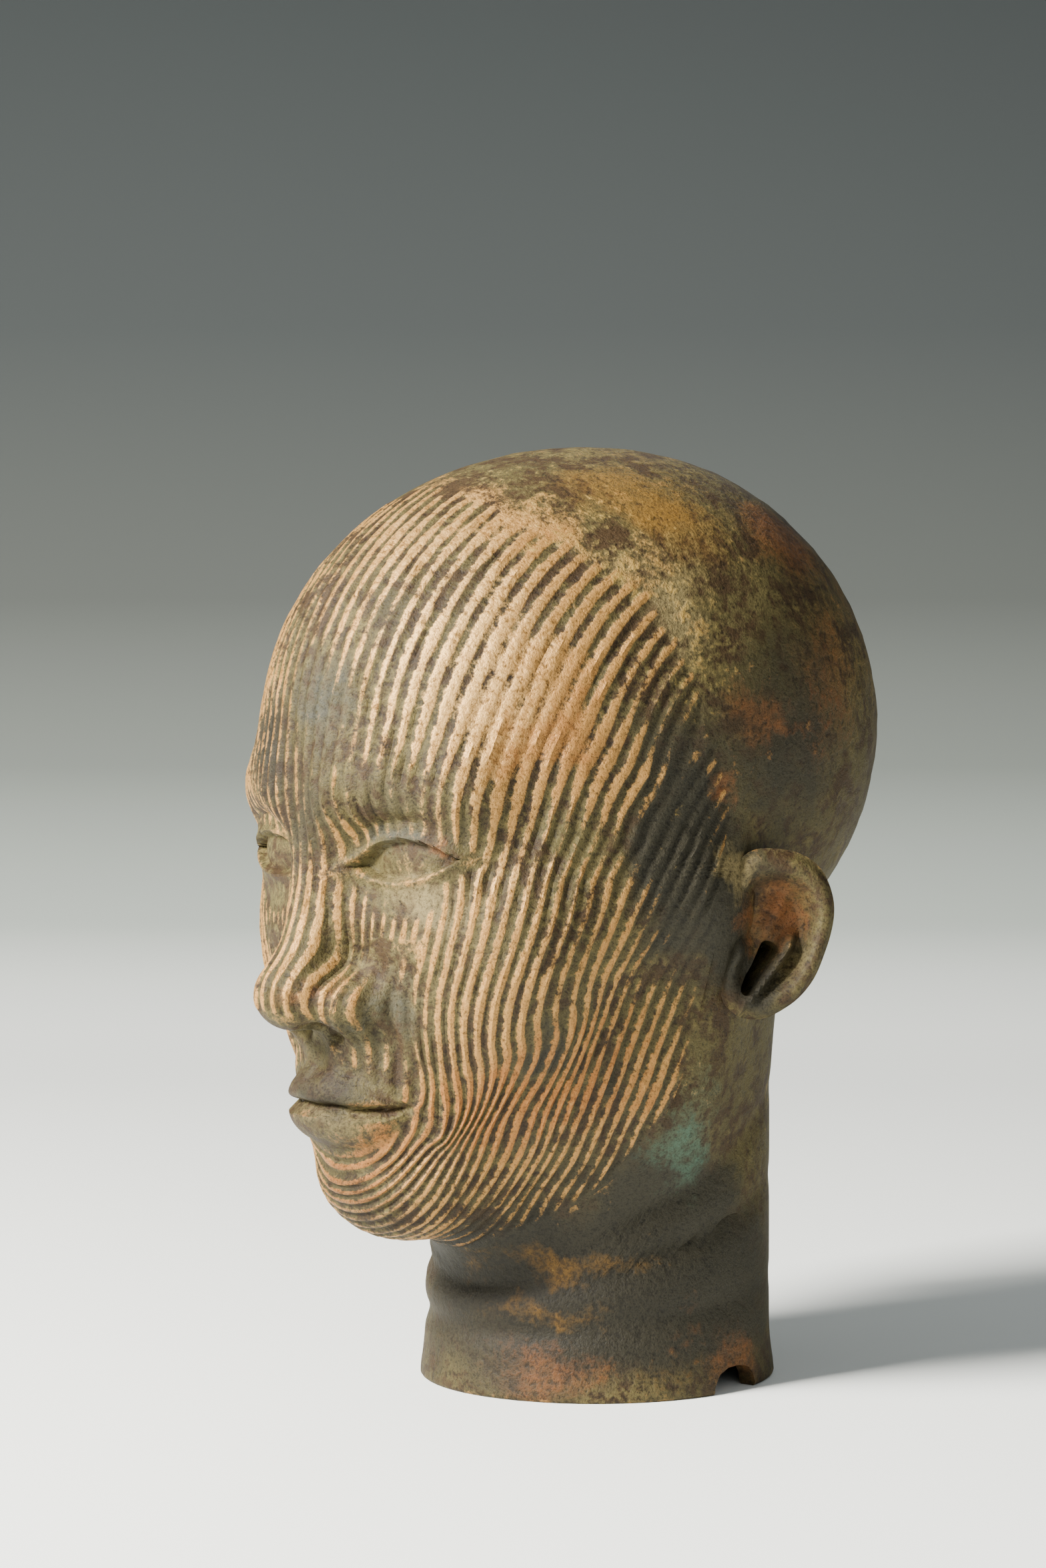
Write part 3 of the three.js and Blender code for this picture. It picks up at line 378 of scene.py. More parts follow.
@dataclass(frozen=True)
class HeadForm:
    """The whole head as a distance field."""

    skull: Mass = Mass((0, 14, 211), (83, 96, 89))
    masses: tuple[tuple[Mass | Limb, float], ...] = (
        (Mass((0, -22, 210), (70, 81, 80)), 24),
        (Mass((0, -22, 158), (69, 74, 66)), 26),
        (Mass((0, -22, 114), (62, 69, 58)), 24),
        (Mass((0, -76, 79), (27, 22, 20)), 26),
        (Mass((0, -66, 112), (34, 34, 32)), 20),
        (Mass((36, -62, 146), (27, 24, 28)), 22),
        (Limb((50, -58, 160), (69, -12, 162), 9, 6.5), 26),
        (Limb((61, 2, 150), (52, -6, 102), 10, 10), 26),
        (Limb((14, -91, 199), (46, -78, 199), 6.5, 6), 22),
    )
    bulk_masses: int = 5
    socket: Mass = Mass((33, -104, 180), (20, 15, 12))
    nose_bridge: Limb = Limb((0, -88, 192), (0, -108, 143), 8, 9.5)
    nose_tip: Mass = Mass((0, -110.5, 139.5), (12.5, 12, 10.5))
    nose_wing: Mass = Mass((15.5, -100, 136), (8.5, 11, 8.6))
    nostril: Mass = Mass((8.2, -107, 127.6), (5, 7.5, 4.4))
    eye: Eye = Eye()
    mouth: Mouth = Mouth()
    folds: Folds = Folds()
    socket_blend: float = 14
    tip_blend: float = 8
    wing_blend: float = 7
    nose_blend: float = 10
    nostril_blend: float = 2.5
    neck_blend: float = 20
    relief_share: float = 0.9
    relief_y: Pair = (-40, -70)
    lean: float = math.radians(5)
    lean_at: Pair = (10.0, 165.0)
    neck_y: float = 13.0
    neck_half: Pair = (55.0, 57.0)
    neck_round: float = 56.0
    neck_top: float = 150
    rim_flare: float = 1.6
    flare_long: float = 9
    creases: tuple[Crease, ...] = (
        Crease(34.3, 34, 2.5, 3.8), Crease(20.5, 13, 1.7, 3.8), Crease(40.5, 61, 2.4, 4.6),
    )
    wall: float = 4.5
    backing: float = 2.2
    backed_face_y: Pair = (-50, -75)
    backed_neck_z: Pair = (12, 28)
    backed_chin_z: Pair = (112, 92)

    def leaned(self, points: Array, lean: float) -> Array:
        """Turns points about the ear-to-ear axis."""
        y = points[..., 1] - self.lean_at[0]
        z = points[..., 2] - self.lean_at[1]
        c, s = math.cos(lean), math.sin(lean)
        new_y, new_z = y * c + z * s + self.lean_at[0], z * c - y * s + self.lean_at[1]
        return np.stack([points[..., 0], new_y, new_z], -1)

    def to_face(self, points: Array) -> Array:
        """Turns points into the frame that leans forward with the face."""
        return self.leaned(points, self.lean)

    def from_face(self, points: Array) -> Array:
        """Turns points from the leaning frame back."""
        return self.leaned(points, -self.lean)

    def neck(self, points: Array, fine: bool) -> Array:
        """Gives the distance to the neck, with its creases where fine.

        Args:
            points: Places, one a row.
            fine: Whether creases are wanted.

        Returns:
            Distances, negative inside.
        """
        x, y, z = points[:, 0], points[:, 1] - self.neck_y, points[:, 2]
        r = np.hypot(x / self.neck_half[0], y / self.neck_half[1])
        swell = np.zeros_like(z)
        if fine:
            back = 0.5 - 0.5 * np.cos(np.arctan2(x, -y))
            fade = ease(1.0, 0.55, back)
            swell = self.rim_flare * bell(z, 0, self.flare_long)
            for crease in self.creases:
                level = crease.front + crease.rise * back
                swell = swell - crease.depth * bell(z, level, crease.width) * fade
        return np.maximum((r - 1) * self.neck_round - swell, z - self.neck_top)

    def relief(self, x: Array, z: Array) -> Array:
        """Gives the soft forward relief of the lips and of the parts round them."""
        return self.folds.relief(self.mouth.swell(x, z), x, z)

    def distance(self, points: Array, fine: bool) -> Array:
        """Gives the distance to the outside of the head.

        Args:
            points: Places, one a row.
            fine: Whether lids, lips, nostrils and neck creases are wanted.

        Returns:
            Distances, negative inside.
        """
        q = self.to_face(points)
        q[:, 0] = np.abs(q[:, 0])
        x, y, z = q[:, 0], q[:, 1], q[:, 2]
        d = self.skull.distance(points)
        for mass, blend in self.masses:
            d = join_soft(d, mass.distance(q), blend)
        d = cut_soft(d, -self.socket.distance(q), self.socket_blend)
        nose = join_soft(self.nose_bridge.distance(q), self.nose_tip.distance(q), self.tip_blend)
        nose = join_soft(nose, self.nose_wing.distance(q), self.wing_blend)
        d = join_soft(d, nose, self.nose_blend)
        if not fine:
            return join_soft(d, self.neck(points, False), self.neck_blend)
        d = cut_soft(d, -self.nostril.distance(q), self.nostril_blend)
        d = d - self.relief(x, z) * ease(*self.relief_y, y) * self.relief_share
        d = self.eye.add(d, x, y, z)
        return join_soft(d, self.neck(points, True), self.neck_blend)

    def outside(self, points: Array) -> Array:
        """Gives the distance to the finished outside."""
        return self.distance(points, True)

    def bulk(self, points: Array) -> Array:
        """Gives the distance to the head's bulk, without nose, cheeks or sockets.

        Args:
            points: Places, one a row.

        Returns:
            Distances, negative inside.
        """
        q = self.to_face(points)
        d = self.skull.distance(points)
        for mass, blend in self.masses[:self.bulk_masses]:
            d = join_soft(d, mass.distance(q), blend)
        return join_soft(d, self.neck(points, False), self.neck_blend)

    def plain(self, points: Array) -> Array:
        """Gives the distance to the plain smooth head."""
        return self.distance(points, False)

    def inside(self, points: Array) -> Array:
        """Gives the distance to the hollow's wall."""
        steep = np.maximum(np.linalg.norm(gradient(self.plain, points), axis=1), 0.3)
        face = ease(*self.backed_face_y, points[:, 1])
        neck = ease(*self.backed_neck_z, points[:, 2]) * ease(*self.backed_chin_z, points[:, 2])
        return self.plain(points) / steep + self.wall + self.backing * np.maximum(face, neck)


def gradient(form: Form, points: Array, step: float = 0.25) -> Array:
    """Gives how fast a form's distance changes along each axis.

    Args:
        form: The form.
        points: Places, one a row.
        step: Half the length measured over.

    Returns:
        Changes along each axis, one row a place.
    """
    out = np.empty_like(points)
    for axis in range(3):
        shift = np.zeros(3)
        shift[axis] = step
        out[:, axis] = (form(points + shift) - form(points - shift)) / (2 * step)
    return out


STRIDE = 0.87
SHORTEST_STRIDE, LONGEST_STRIDE = -6.0, 10.0


def march(form: Form, origin: Array, ways: Array, start: Array | float, steps: int) -> Array:
    """Walks along rays until a form is met.

    Args:
        form: The form to meet.
        origin: Where the rays start from, one place or one a ray.
        ways: Unit directions of the rays.
        start: Length along each ray at which the walk starts.
        steps: How many steps are taken.

    Returns:
        The length along each ray at which the form is met.
    """
    reach = np.full(len(ways), 0.0) + start
    for _ in range(steps):
        gap = form(origin + ways * reach[:, None]) * STRIDE
        reach = reach - np.clip(gap, SHORTEST_STRIDE, LONGEST_STRIDE)
    return reach


@dataclass(frozen=True)
class Unevenness:
    """Soft random field from about minus one to one, as of work done by hand."""

    seed: int
    longest: float
    shortest: float
    waves: int = 40
    scale: float = 0.5

    def __call__(self, points: Array) -> Array:
        """Gives the field at places in mm.

        Args:
            points: Places in any number of rows.

        Returns:
            Values in the same rows.
        """
        source = np.random.default_rng(self.seed)
        ways = source.normal(size=(self.waves, 3))
        ways /= np.linalg.norm(ways, axis=1, keepdims=True)
        lengths = np.geomspace(self.longest, self.shortest, self.waves)
        starts = source.uniform(0, 2 * math.pi, self.waves)
        weights = lengths ** 0.5
        weights = weights / math.sqrt((weights ** 2).sum() / 2)
        out = np.zeros(points.shape[:-1])
        for way, length, start, weight in zip(ways, lengths, starts, weights):
            out += weight * np.sin(points @ way * (2 * math.pi / length) + start)
        return out * self.scale


# The surface is laid out in arcs that start at the midline, in three families round one centre

class Family(Enum):
    """Families of arcs."""

    FAN = "about the ear-to-ear axis"
    LOW = "round the middle of the mouth"
    BACK = "round the back of the head"


CENTRE = np.array([0.0, 5.0, 165.0])
MOUTH_TURN = math.radians(-33.4)


@dataclass(frozen=True)
class Ridges:
    """Spacing, number and depth of the face's ridges, and where they stop.

    Lengths are in mm and turns in degrees. A pair of numbers says where a change starts and ends.
    """

    pitch_middle: float = 4.2
    pitch_side: float = 4.75
    each_side: float = 32.5
    rise: float = 0.3
    groove: float = 0.6
    course_turn: Row = (-57, -48, -41, -37, -33.4, -25, -20, -15, -10, -5, 0,
                                      5, 15, 30, 40, 50, 60, 75)
    course_spread: Row = (0.57, 0.58, 0.59, 0.61, 0.64, 0.73, 0.795, 0.86, 0.915, 0.96, 1,
                                        1.035, 1.11, 1.195, 1.245, 1.25, 1.225, 1.17)
    drawn_distance: Row = (0, 50, 62, 75, 90, 107, 137, 160)
    drawn_cheek: Row = (1, 1, 0.8, 0.64, 0.53, 0.36, 0.22, 0.18)
    drawn_chin: Row = (1, 1, 0.94, 0.87, 0.8, 0.66, 0.47, 0.42)
    fewer_within: float = 47
    fewer_by: int = 4
    side_distance: float = 107
    side_z: Row = (66, 77, 90, 112, 125, 137, 149, 157, 173, 187, 204, 213, 225)
    side_y: Row = (-52, -52, -52, -50, -47.5, -45, -41.5, -39, -30, -22, -11, -5, 4)
    side_pitch: Row = (3.6, 4.0, 4.2, 4.6, 4.8, 4.9, 5.1, 5.1, 5.2, 5.6, 6.7, 7.3, 8.3)
    temple_z: Row = (160, 170, 185, 197, 208, 217, 240)
    temple_y: Row = (8, 5, 1, -2, -7, -8, -8)
    hair_distance: Row = (0, 40, 65, 86, 100, 120, 141)
    hair_turn: Row = (64, 62, 66, 70.5, 71.6, 71.5, 72)
    longest: float = 160
    samples: int = 3200
    pitch_change: Pair = (14, 46)
    chin_turn: Pair = (-33, -42)
    part_turn: float = -12
    part_drop: float = 13
    part_distance: Pair = (26, 17)
    meet: Pair = (0.5, 3)
    side_blend: Pair = (9, 7)
    side_fade_z: Pair = (228, 206)
    crest_edge: float = 0.25
    groove_edge: float = 0.85
    hair_soft: float = -1.6
    border_soft: Pair = (1.0, 4.0)
    temple_foot: float = 160
    temple_soft: float = -3
    temple_ragged: float = 90
    features_y: float = -40
    nose_y: float = -60
    nose_z: float = 127
    nose_half: Pair = (1.7, 8)
    nose_soft: float = 3

    def table(self) -> tuple[Array, Array]:
        """Gives distances from the midline and the ridge count at each."""
        distance = np.linspace(0, self.longest, self.samples + 1)
        middle = 0.5 * (distance[1:] + distance[:-1])
        pitch = self.pitch_middle + (self.pitch_side - self.pitch_middle) * ease(*self.pitch_change, middle)
        return distance, np.concatenate([[0], np.cumsum(self.longest / self.samples / pitch)])

    def course(self, turns: Array, distance: Array) -> Array:
        """Gives how far each ridge runs from the midline, drawing in towards the chin.

        Args:
            turns: Turn of each row, which goes on below the mouth's.
            distance: Distance of each ridge at the level of the eyes.

        Returns:
            Distances in rows and columns.
        """
        spread = knot_curve(np.radians(self.course_turn), np.array(self.course_spread), turns)[:, None]
        knots = np.array(self.drawn_distance)
        cheek = knot_curve(knots, np.array(self.drawn_cheek), distance)
        chin = knot_curve(knots, np.array(self.drawn_chin), distance)
        share = cheek + (chin - cheek) * ease(*map(math.radians, self.chin_turn), turns)[:, None]
        return distance[None, :] * (1 + (spread - 1) * np.where(spread < 1, share, 1))

    def parted(self, turns: Array, distance: Array) -> Array:
        """Gives how far a place lies below the line from nose wing to lower lid, past which fewer go on."""
        drop = math.radians(self.part_drop) * ease(*self.part_distance, distance)
        return math.radians(self.part_turn) - drop - turns

    def count_at(self, points: Array, turns: Array, arcs: Array) -> tuple[Array, Array]:
        """Gives the ridge count at places on the face.

        Args:
            points: The places, in rows and columns.
            turns: Turn of each row, which goes on below the mouth's.
            arcs: Distance of each place from the midline, in rows and columns.

        Returns:
            Counts, and one where the ridges run through and nought where two spacings meet.
        """
        distance, count = self.table()
        lines = self.course(turns, distance)
        level = np.array([np.interp(row, line, distance) for row, line in zip(arcs, lines)])
        full = np.interp(level, distance, count)
        last = round(float(np.interp(self.fewer_within, distance, count)))
        fewer = last - (last - full) * (last - self.fewer_by) / last
        below = self.parted(turns[:, None], level)
        meet = ease(*map(math.radians, self.meet), np.abs(below))
        out = np.where((below > 0) & (full < last), fewer, full)
        z = points[..., 2]
        line = knot_curve(np.array(self.side_z), np.array(self.side_y), z)
        pitch = knot_curve(np.array(self.side_z), np.array(self.side_pitch), z)
        edge, (before, after) = self.side_distance, self.side_blend
        side = np.interp(edge, distance, count) + (points[..., 1] - line) / pitch
        share = ease(edge - before, edge + after, level) * ease(*self.side_fade_z, z)
        return out + (side - out) * share, np.where(full < last, meet, 1)

    def height(self, count: Array) -> Array:
        """Gives one on a ridge's flat top and nought in a groove's floor."""
        return 1 - ease(self.crest_edge, self.groove_edge, np.abs(count - np.round(count)) * 2)

    def show(self, form: HeadForm, points: Array, turn: Array, count: Array, arcs: Array,
             room: Array) -> Array:
        """Gives one where the face is ridged and nought where it is plain.

        Args:
            form: The head's form.
            points: Places on the head, in rows and columns.
            turn: Turn of each row about the ear axis.
            count: Ridge count of each place.
            arcs: Distance of each place from the midline.
            room: Distance of each place from the border.

        Returns:
            The share of the ridges' depth that shows at each place.
        """
        ridge = np.round(count)
        ragged = 0.012 * np.sin(ridge * 2.4) + 0.01 * np.sin(ridge * 5.1 + 1)
        hair = np.radians(np.interp(arcs, self.hair_distance, self.hair_turn))
        out = ease(0.0, math.radians(self.hair_soft), turn - hair - ragged) * ease(*self.border_soft, room)
        temple = knot_curve(np.array(self.temple_z), np.array(self.temple_y), points[..., 2])
        before = ease(0, self.temple_soft, points[..., 1] - (temple + self.temple_ragged * ragged))
        out = out * np.where(points[..., 2] > self.temple_foot, before, 1)
        q = form.to_face(points)
        x, y, z = np.abs(q[..., 0]), q[..., 1], q[..., 2]
        out = out * np.where(y < self.features_y, form.eye.clear(x, z) * form.mouth.clear(x, z), 1)
        wide, half = self.nose_half
        nostrils = ease(0, self.nose_soft, np.hypot(x / wide, z - self.nose_z) - half)
        return out * np.where(y < self.nose_y, nostrils, 1)


def turned_way(pole: Array, side: Array) -> Way:
    """Makes the ray function of arcs round a pole.

    Args:
        pole: Direction of the pole.
        side: Direction that the arcs turn to.

    Returns:
        The ray function.
    """
    across = np.array([1.0, 0.0, 0.0])

    def ray(turn: Array, tilt: Array) -> Array:
        """Gives directions for a turn round the pole and a tilt away from it."""
        away = np.cos(turn)[..., None] * across + np.sin(turn)[..., None] * side
        return np.cos(tilt)[..., None] * pole + np.sin(tilt)[..., None] * away

    return ray


def fan_way(turn: Array, tilt: Array) -> Array:
    """Gives directions for a turn about the ear axis and a tilt towards the ear."""
    return np.stack([np.sin(tilt), -np.cos(tilt) * np.cos(turn), np.cos(tilt) * np.sin(turn)], -1)


def pinch(gap: Array, keep: Array, within: float, end: float) -> Array:
    """Draws rows towards a line, wholly within one distance and not at all beyond another."""
    return gap * (1 - (1 - keep) * ease(end, within, np.abs(gap)))


class Warp:
    """Turns rays a little about the ear axis, so that rows follow the lids and the lips."""

    eye_far = 103.0
    mouth_far = 121.0
    lids_turn = 3.2
    lids_slope = 0.035
    lids_least = 0.22
    lips_least = 0.25
    lids_within = 4.2
    lips_within = 4.8
    drawn_within = 9.5

    def __init__(self, form: HeadForm) -> None:
        """Finds the turn at which the line between the lips is met, at widths across the mouth.

        Args:
            form: The head's form.
        """
        self.form = form
        self.across = np.linspace(0, 1.25 * form.mouth.half_width, 26)
        z = form.mouth.line(np.minimum(self.across, form.mouth.half_width))
        y = np.full_like(z, -130.0)
        for _ in range(60):
            raw = form.from_face(np.stack([self.across, y, z], -1))
            y = y + np.clip(form.plain(raw) * 0.8, -4, 4)
        raw = form.from_face(np.stack([self.across, y, z], -1)) - CENTRE
        self.turns = np.degrees(np.arctan2(raw[:, 2], -raw[:, 1]))

    def __call__(self, ways: Array) -> Array:
        """Turns the rays.

        Args:
            ways: Directions, one a row.

        Returns:
            The turned directions.
        """
        eye, mouth, level = self.form.eye, self.form.mouth, math.degrees(MOUTH_TURN)
        turn = np.degrees(np.arctan2(ways[:, 2], -ways[:, 1]))
        side = np.abs(ways[:, 0])
        x = side * self.eye_far
        u = np.abs(x - eye.x) / eye.half_width
        middle = self.lids_turn + self.lids_slope * (x - eye.x)
        keep = self.kept(arch(u), u, self.lids_least, 1.8)
        new = middle + pinch(turn - middle, keep, self.lids_within, self.drawn_within)
        x = side * self.mouth_far
        u = x / mouth.half_width
        keep = self.kept(arch(u) ** 0.8, u, self.lips_least, 1.6)
        drawn = level + pinch(new - level, keep, self.lips_within, self.drawn_within)
        new = np.where(new > level, drawn, new)
        line = np.interp(x, self.across, self.turns)
        line = line + (level - line) * ease(1.2, 2.2, u)
        new = new + (line - level) * ease(16, 2.5, np.abs(turn - level))
        new = np.radians(turn + (new - turn) * ease(100, 60, turn))
        r = np.hypot(ways[:, 1], ways[:, 2])
        return np.stack([ways[:, 0], -np.cos(new) * r, np.sin(new) * r], -1)

    @staticmethod
    def kept(share: Array, u: Array, least: float, free: float) -> Array:
        """Gives the share of a gap between rows that is kept across a feature and beyond its end."""
        return np.where(u < 1, np.maximum(share, least), least + (1 - least) * ease(1, free, u))


def soften(table: Array, width: float) -> Array:
    """Evens a table out from row to row.

    Args:
        table: Values in rows.
        width: How many rows the evening out reaches over.

    Returns:
        The table, evened out.
    """
    k = int(3 * width)
    bellish = np.exp(-0.5 * (np.arange(-k, k + 1) / width) ** 2)
    bellish /= bellish.sum()
    padded = np.concatenate([np.repeat(table[:1], k, 0), table, np.repeat(table[-1:], k, 0)])
    return np.array([(bellish[:, None] * padded[i:i + 2 * k + 1]).sum(0) for i in range(len(table))])


class Sheet:
    """One family of arcs: the tilt and the reach for each turn and length of arc."""

    step = 1.5
    longest = 166.1
    tilt_step = 2.0
    tilt_most = 88.1
    far = 175.0
    first_steps = 46
    later_steps = 22

    def __init__(self, form: HeadForm, turns: Array, way: Way, warp: Warp) -> None:
        """Measures arc lengths over the head's bulk and reaches over the plain head.

        Args:
            form: The head's form.
            turns: Turns that are measured.
            way: The family's ray function.
            warp: What turns the rays at the features.
        """
        self.turns, self.way, self.warp = turns, way, warp
        tilt = np.radians(np.arange(0, self.tilt_most, self.tilt_step))
        rows, tilts = np.meshgrid(turns, tilt, indexing="ij")
        self.arcs = np.arange(0, self.longest, self.step)
        self.tilt = self.measure(form.bulk, rows, tilts, tilt)[0]
        self.reach = self.measure(form.plain, rows, tilts, tilt)[1]
        self.end = np.zeros(len(turns))

    def measure(self, form: Form, rows: Array, tilts: Array, tilt: Array) -> tuple[Array, Array]:
        """Gives tilt and reach for each turn and length of arc over a form.

        Args:
            form: The form.
            rows: Turn of each ray.
            tilts: Tilt of each ray.
            tilt: Tilts along one row.

        Returns:
            Tilts and reaches in rows and columns.
        """
        ways = self.way(rows.ravel(), tilts.ravel())
        reach = march(form, CENTRE, ways, self.far, self.first_steps)
        points = (ways * reach[:, None]).reshape(*rows.shape, 3)
        reach = reach.reshape(rows.shape)
        gaps = np.linalg.norm(np.diff(points, axis=1), axis=-1)
        arcs = np.concatenate([np.zeros((len(rows), 1)), np.cumsum(gaps, 1)], 1)
        return (np.array([np.interp(self.arcs, line, tilt) for line in arcs]),
                np.array([np.interp(self.arcs, line, far) for line, far in zip(arcs, reach)]))

    def set_edge(self, knots: Sequence[float], edge: Sequence[float]) -> None:
        """Ends each arc at the border, given in degrees at knots of the turn."""
        tilts = knot_curve(np.radians(knots), np.radians(edge), self.turns)
        self.end = np.array([np.interp(tilts[i], self.tilt[i], self.arcs) for i in range(len(self.turns))])

    def look(self, table: Array, turn: Array, arc: Array) -> Array:
        """Reads a table between its rows and columns.

        Args:
            table: Tilts or reaches.
            turn: Turns to read at.
            arc: Arc lengths to read at.

        Returns:
            The values there.
        """
        fi = np.clip((turn - self.turns[0]) / (self.turns[1] - self.turns[0]), 0, len(self.turns) - 1.001)
        fj = np.clip(arc / self.step, 0, len(self.arcs) - 1.001)
        i, j = fi.astype(int), fj.astype(int)
        a, b = fi - i, fj - j
        upper = table[i, j] * (1 - b) + table[i, j + 1] * b
        return upper * (1 - a) + (table[i + 1, j] * (1 - b) + table[i + 1, j + 1] * b) * a

    def points(self, form: Form, turn: Array, arc: Array, start_in: float = 0.0) -> Array:
        """Gives the places on a form for turns and arc lengths.

        Args:
            form: The form.
            turn: Turn of each place.
            arc: Arc length of each place.
            start_in: How far inside the plain head the search starts.

        Returns:
            The places.
        """
        shape = turn.shape
        turn, arc = turn.ravel(), arc.ravel()
        ways = self.warp(self.way(turn, self.look(self.tilt, turn, arc)))
        start = self.look(self.reach, turn, arc) - start_in
        reach = march(form, CENTRE, ways, start, self.later_steps)
        return (CENTRE + ways * reach[:, None]).reshape(*shape, 3)


class Layout:
    """All three families, made to meet, with their border behind the jaw and the ears.

    Each border is given in degrees of tilt, at knots of the turn.
    """

    fan_edge = ((-33.4, -15, 0, 31, 57, 76, 86.5, 91.4, 96.5, 120, 150, 180),
                (80.2, 83.7, 85.6, 86, 85.5, 84.3, 81, 76.4, 68, 62, 57, 52))
    low_edge = ((0, 3.6, 13.9, 24.3, 32.9, 41, 51.5, 58.5, 72.5, 90),
                (80.2, 78.4, 72.2, 65.5, 59.8, 54.5, 47.3, 41.4, 34.8, 33))
    back_edge = ((0, 30, 60, 90), (52, 45, 34, 29))
    top_turn = math.radians(75)
    low_share = 0.26
    free_share = 0.85
    fan_plain = (math.radians(105), math.radians(78))
    low_plain = (math.radians(100), math.radians(55))

    def __init__(self, form: HeadForm, ridges: Ridges) -> None:
        """Measures the families and evens them out.

        Args:
            form: The head's form.
            ridges: The ridges' spacing and course.
        """
        self.ridges = ridges
        self.distance, self.count = ridges.table()
        self.width = float(np.interp(ridges.each_side, self.count, self.distance))
        warp = Warp(form)
        mouth = np.array([0.0, -math.cos(MOUTH_TURN), math.sin(MOUTH_TURN)])
        below = np.array([0.0, -mouth[2], mouth[1]])
        quarter = math.pi / 2
        self.sheets = {
            Family.FAN: Sheet(form, np.linspace(MOUTH_TURN, math.pi, 140), fan_way, warp),
            Family.LOW: Sheet(form, np.linspace(0, quarter, 46), turned_way(mouth, below), warp),
            Family.BACK: Sheet(form, np.linspace(0, quarter, 31),
                               turned_way(np.array([0.0, 1.0, 0.0]), np.array([0.0, 0.0, -1.0])), warp),
        }
        fan, low, back = (self.sheets[f] for f in (Family.FAN, Family.LOW, Family.BACK))
        even_fan, even_low = soften(fan.tilt, 9), soften(low.tilt, 4)
        near = ease(quarter / 3, 0, low.turns)[:, None]
        low.tilt = even_low + (even_fan[0] - even_low[0]) * near
        near = ease(quarter / 3, 0, back.turns)[:, None]
        back.tilt = back.tilt + (even_fan[-1] - back.tilt[0]) * near
        fan.tilt = even_fan
        fan.set_edge(*self.fan_edge)
        low.set_edge(*self.low_edge)
        back.set_edge(*self.back_edge)

    def levels(self, family: Family, turns: Array) -> Array:
        """Gives the turn that each row has for the ridges' course."""
        if family is Family.LOW:
            return MOUTH_TURN - turns * self.low_share
        if family is Family.FAN:
            return np.minimum(turns, self.top_turn)
        return np.full(len(turns), self.top_turn)

    def ends(self, family: Family, turns: Array) -> Array:
        """Gives the length of each row's arc up to the border."""
        sheet = self.sheets[family]
        return np.interp(turns, sheet.turns, sheet.end)[:, None]

    def arcs(self, family: Family, turns: Array, shares: Array) -> Array:
        """Gives the length of arc from the midline to each point.

        Args:
            family: Which family the rows belong to.
            turns: Turn of each row.
            shares: Each column's share of the way to the border.

        Returns:
            Lengths in rows and columns.
        """
        end = self.ends(family, turns)
        line = self.ridges.course(self.levels(family, turns), shares * self.width)
        last = line[:, -1:]
        face = {Family.FAN: ease(*self.fan_plain, turns),
                Family.LOW: ease(*self.low_plain, turns),
                Family.BACK: np.zeros(len(turns))}[family][:, None]
        near = self.free_share * end
        room, over = end - near, np.maximum(last - near, end - near)
        beyond, times = np.clip((line - near) / over, 0, 1), np.maximum(over / room, 1.01)
        squeezed = times * beyond - (times - 1) * beyond ** ((times - 0.2) / (times - 1))
        drawn_in = np.where(line < near, line, near + room * squeezed)
        let_out = line + (end - last) * shares ** 4
        true_arc = np.where(last > end, drawn_in, let_out)
        return true_arc * face + shares * end * (1 - face)

    def rows(self, family: Family, turns: Array, shares: Array, form: Form, start_in: float = 0.0) -> Array:
        """Places rows of points.

        Args:
            family: Which family the rows belong to.
            turns: Turn of each row.
            shares: Each column's share of the way to the border.
            form: The form on which the points lie.
            start_in: How far inside the plain head the search starts.

        Returns:
            Points in rows and columns.
        """
        arcs = self.arcs(family, turns, shares)
        return self.sheets[family].points(form, np.repeat(turns[:, None], len(shares), 1), arcs, start_in)


def spaced_rows(knots: Sequence[float], gaps: Sequence[float]) -> Array:
    """Gives angles from the first knot to the last, whose gaps change evenly between the knots.

    Args:
        knots: Angles, rising.
        gaps: The gap at each knot.

    Returns:
        The angles.
    """
    out = [knots[0]]
    while out[-1] < knots[-1]:
        out.append(out[-1] + float(np.interp(out[-1], knots, gaps)))
    rows = np.array(out)
    return knots[0] + (rows - knots[0]) * (knots[-1] - knots[0]) / (out[-1] - knots[0])


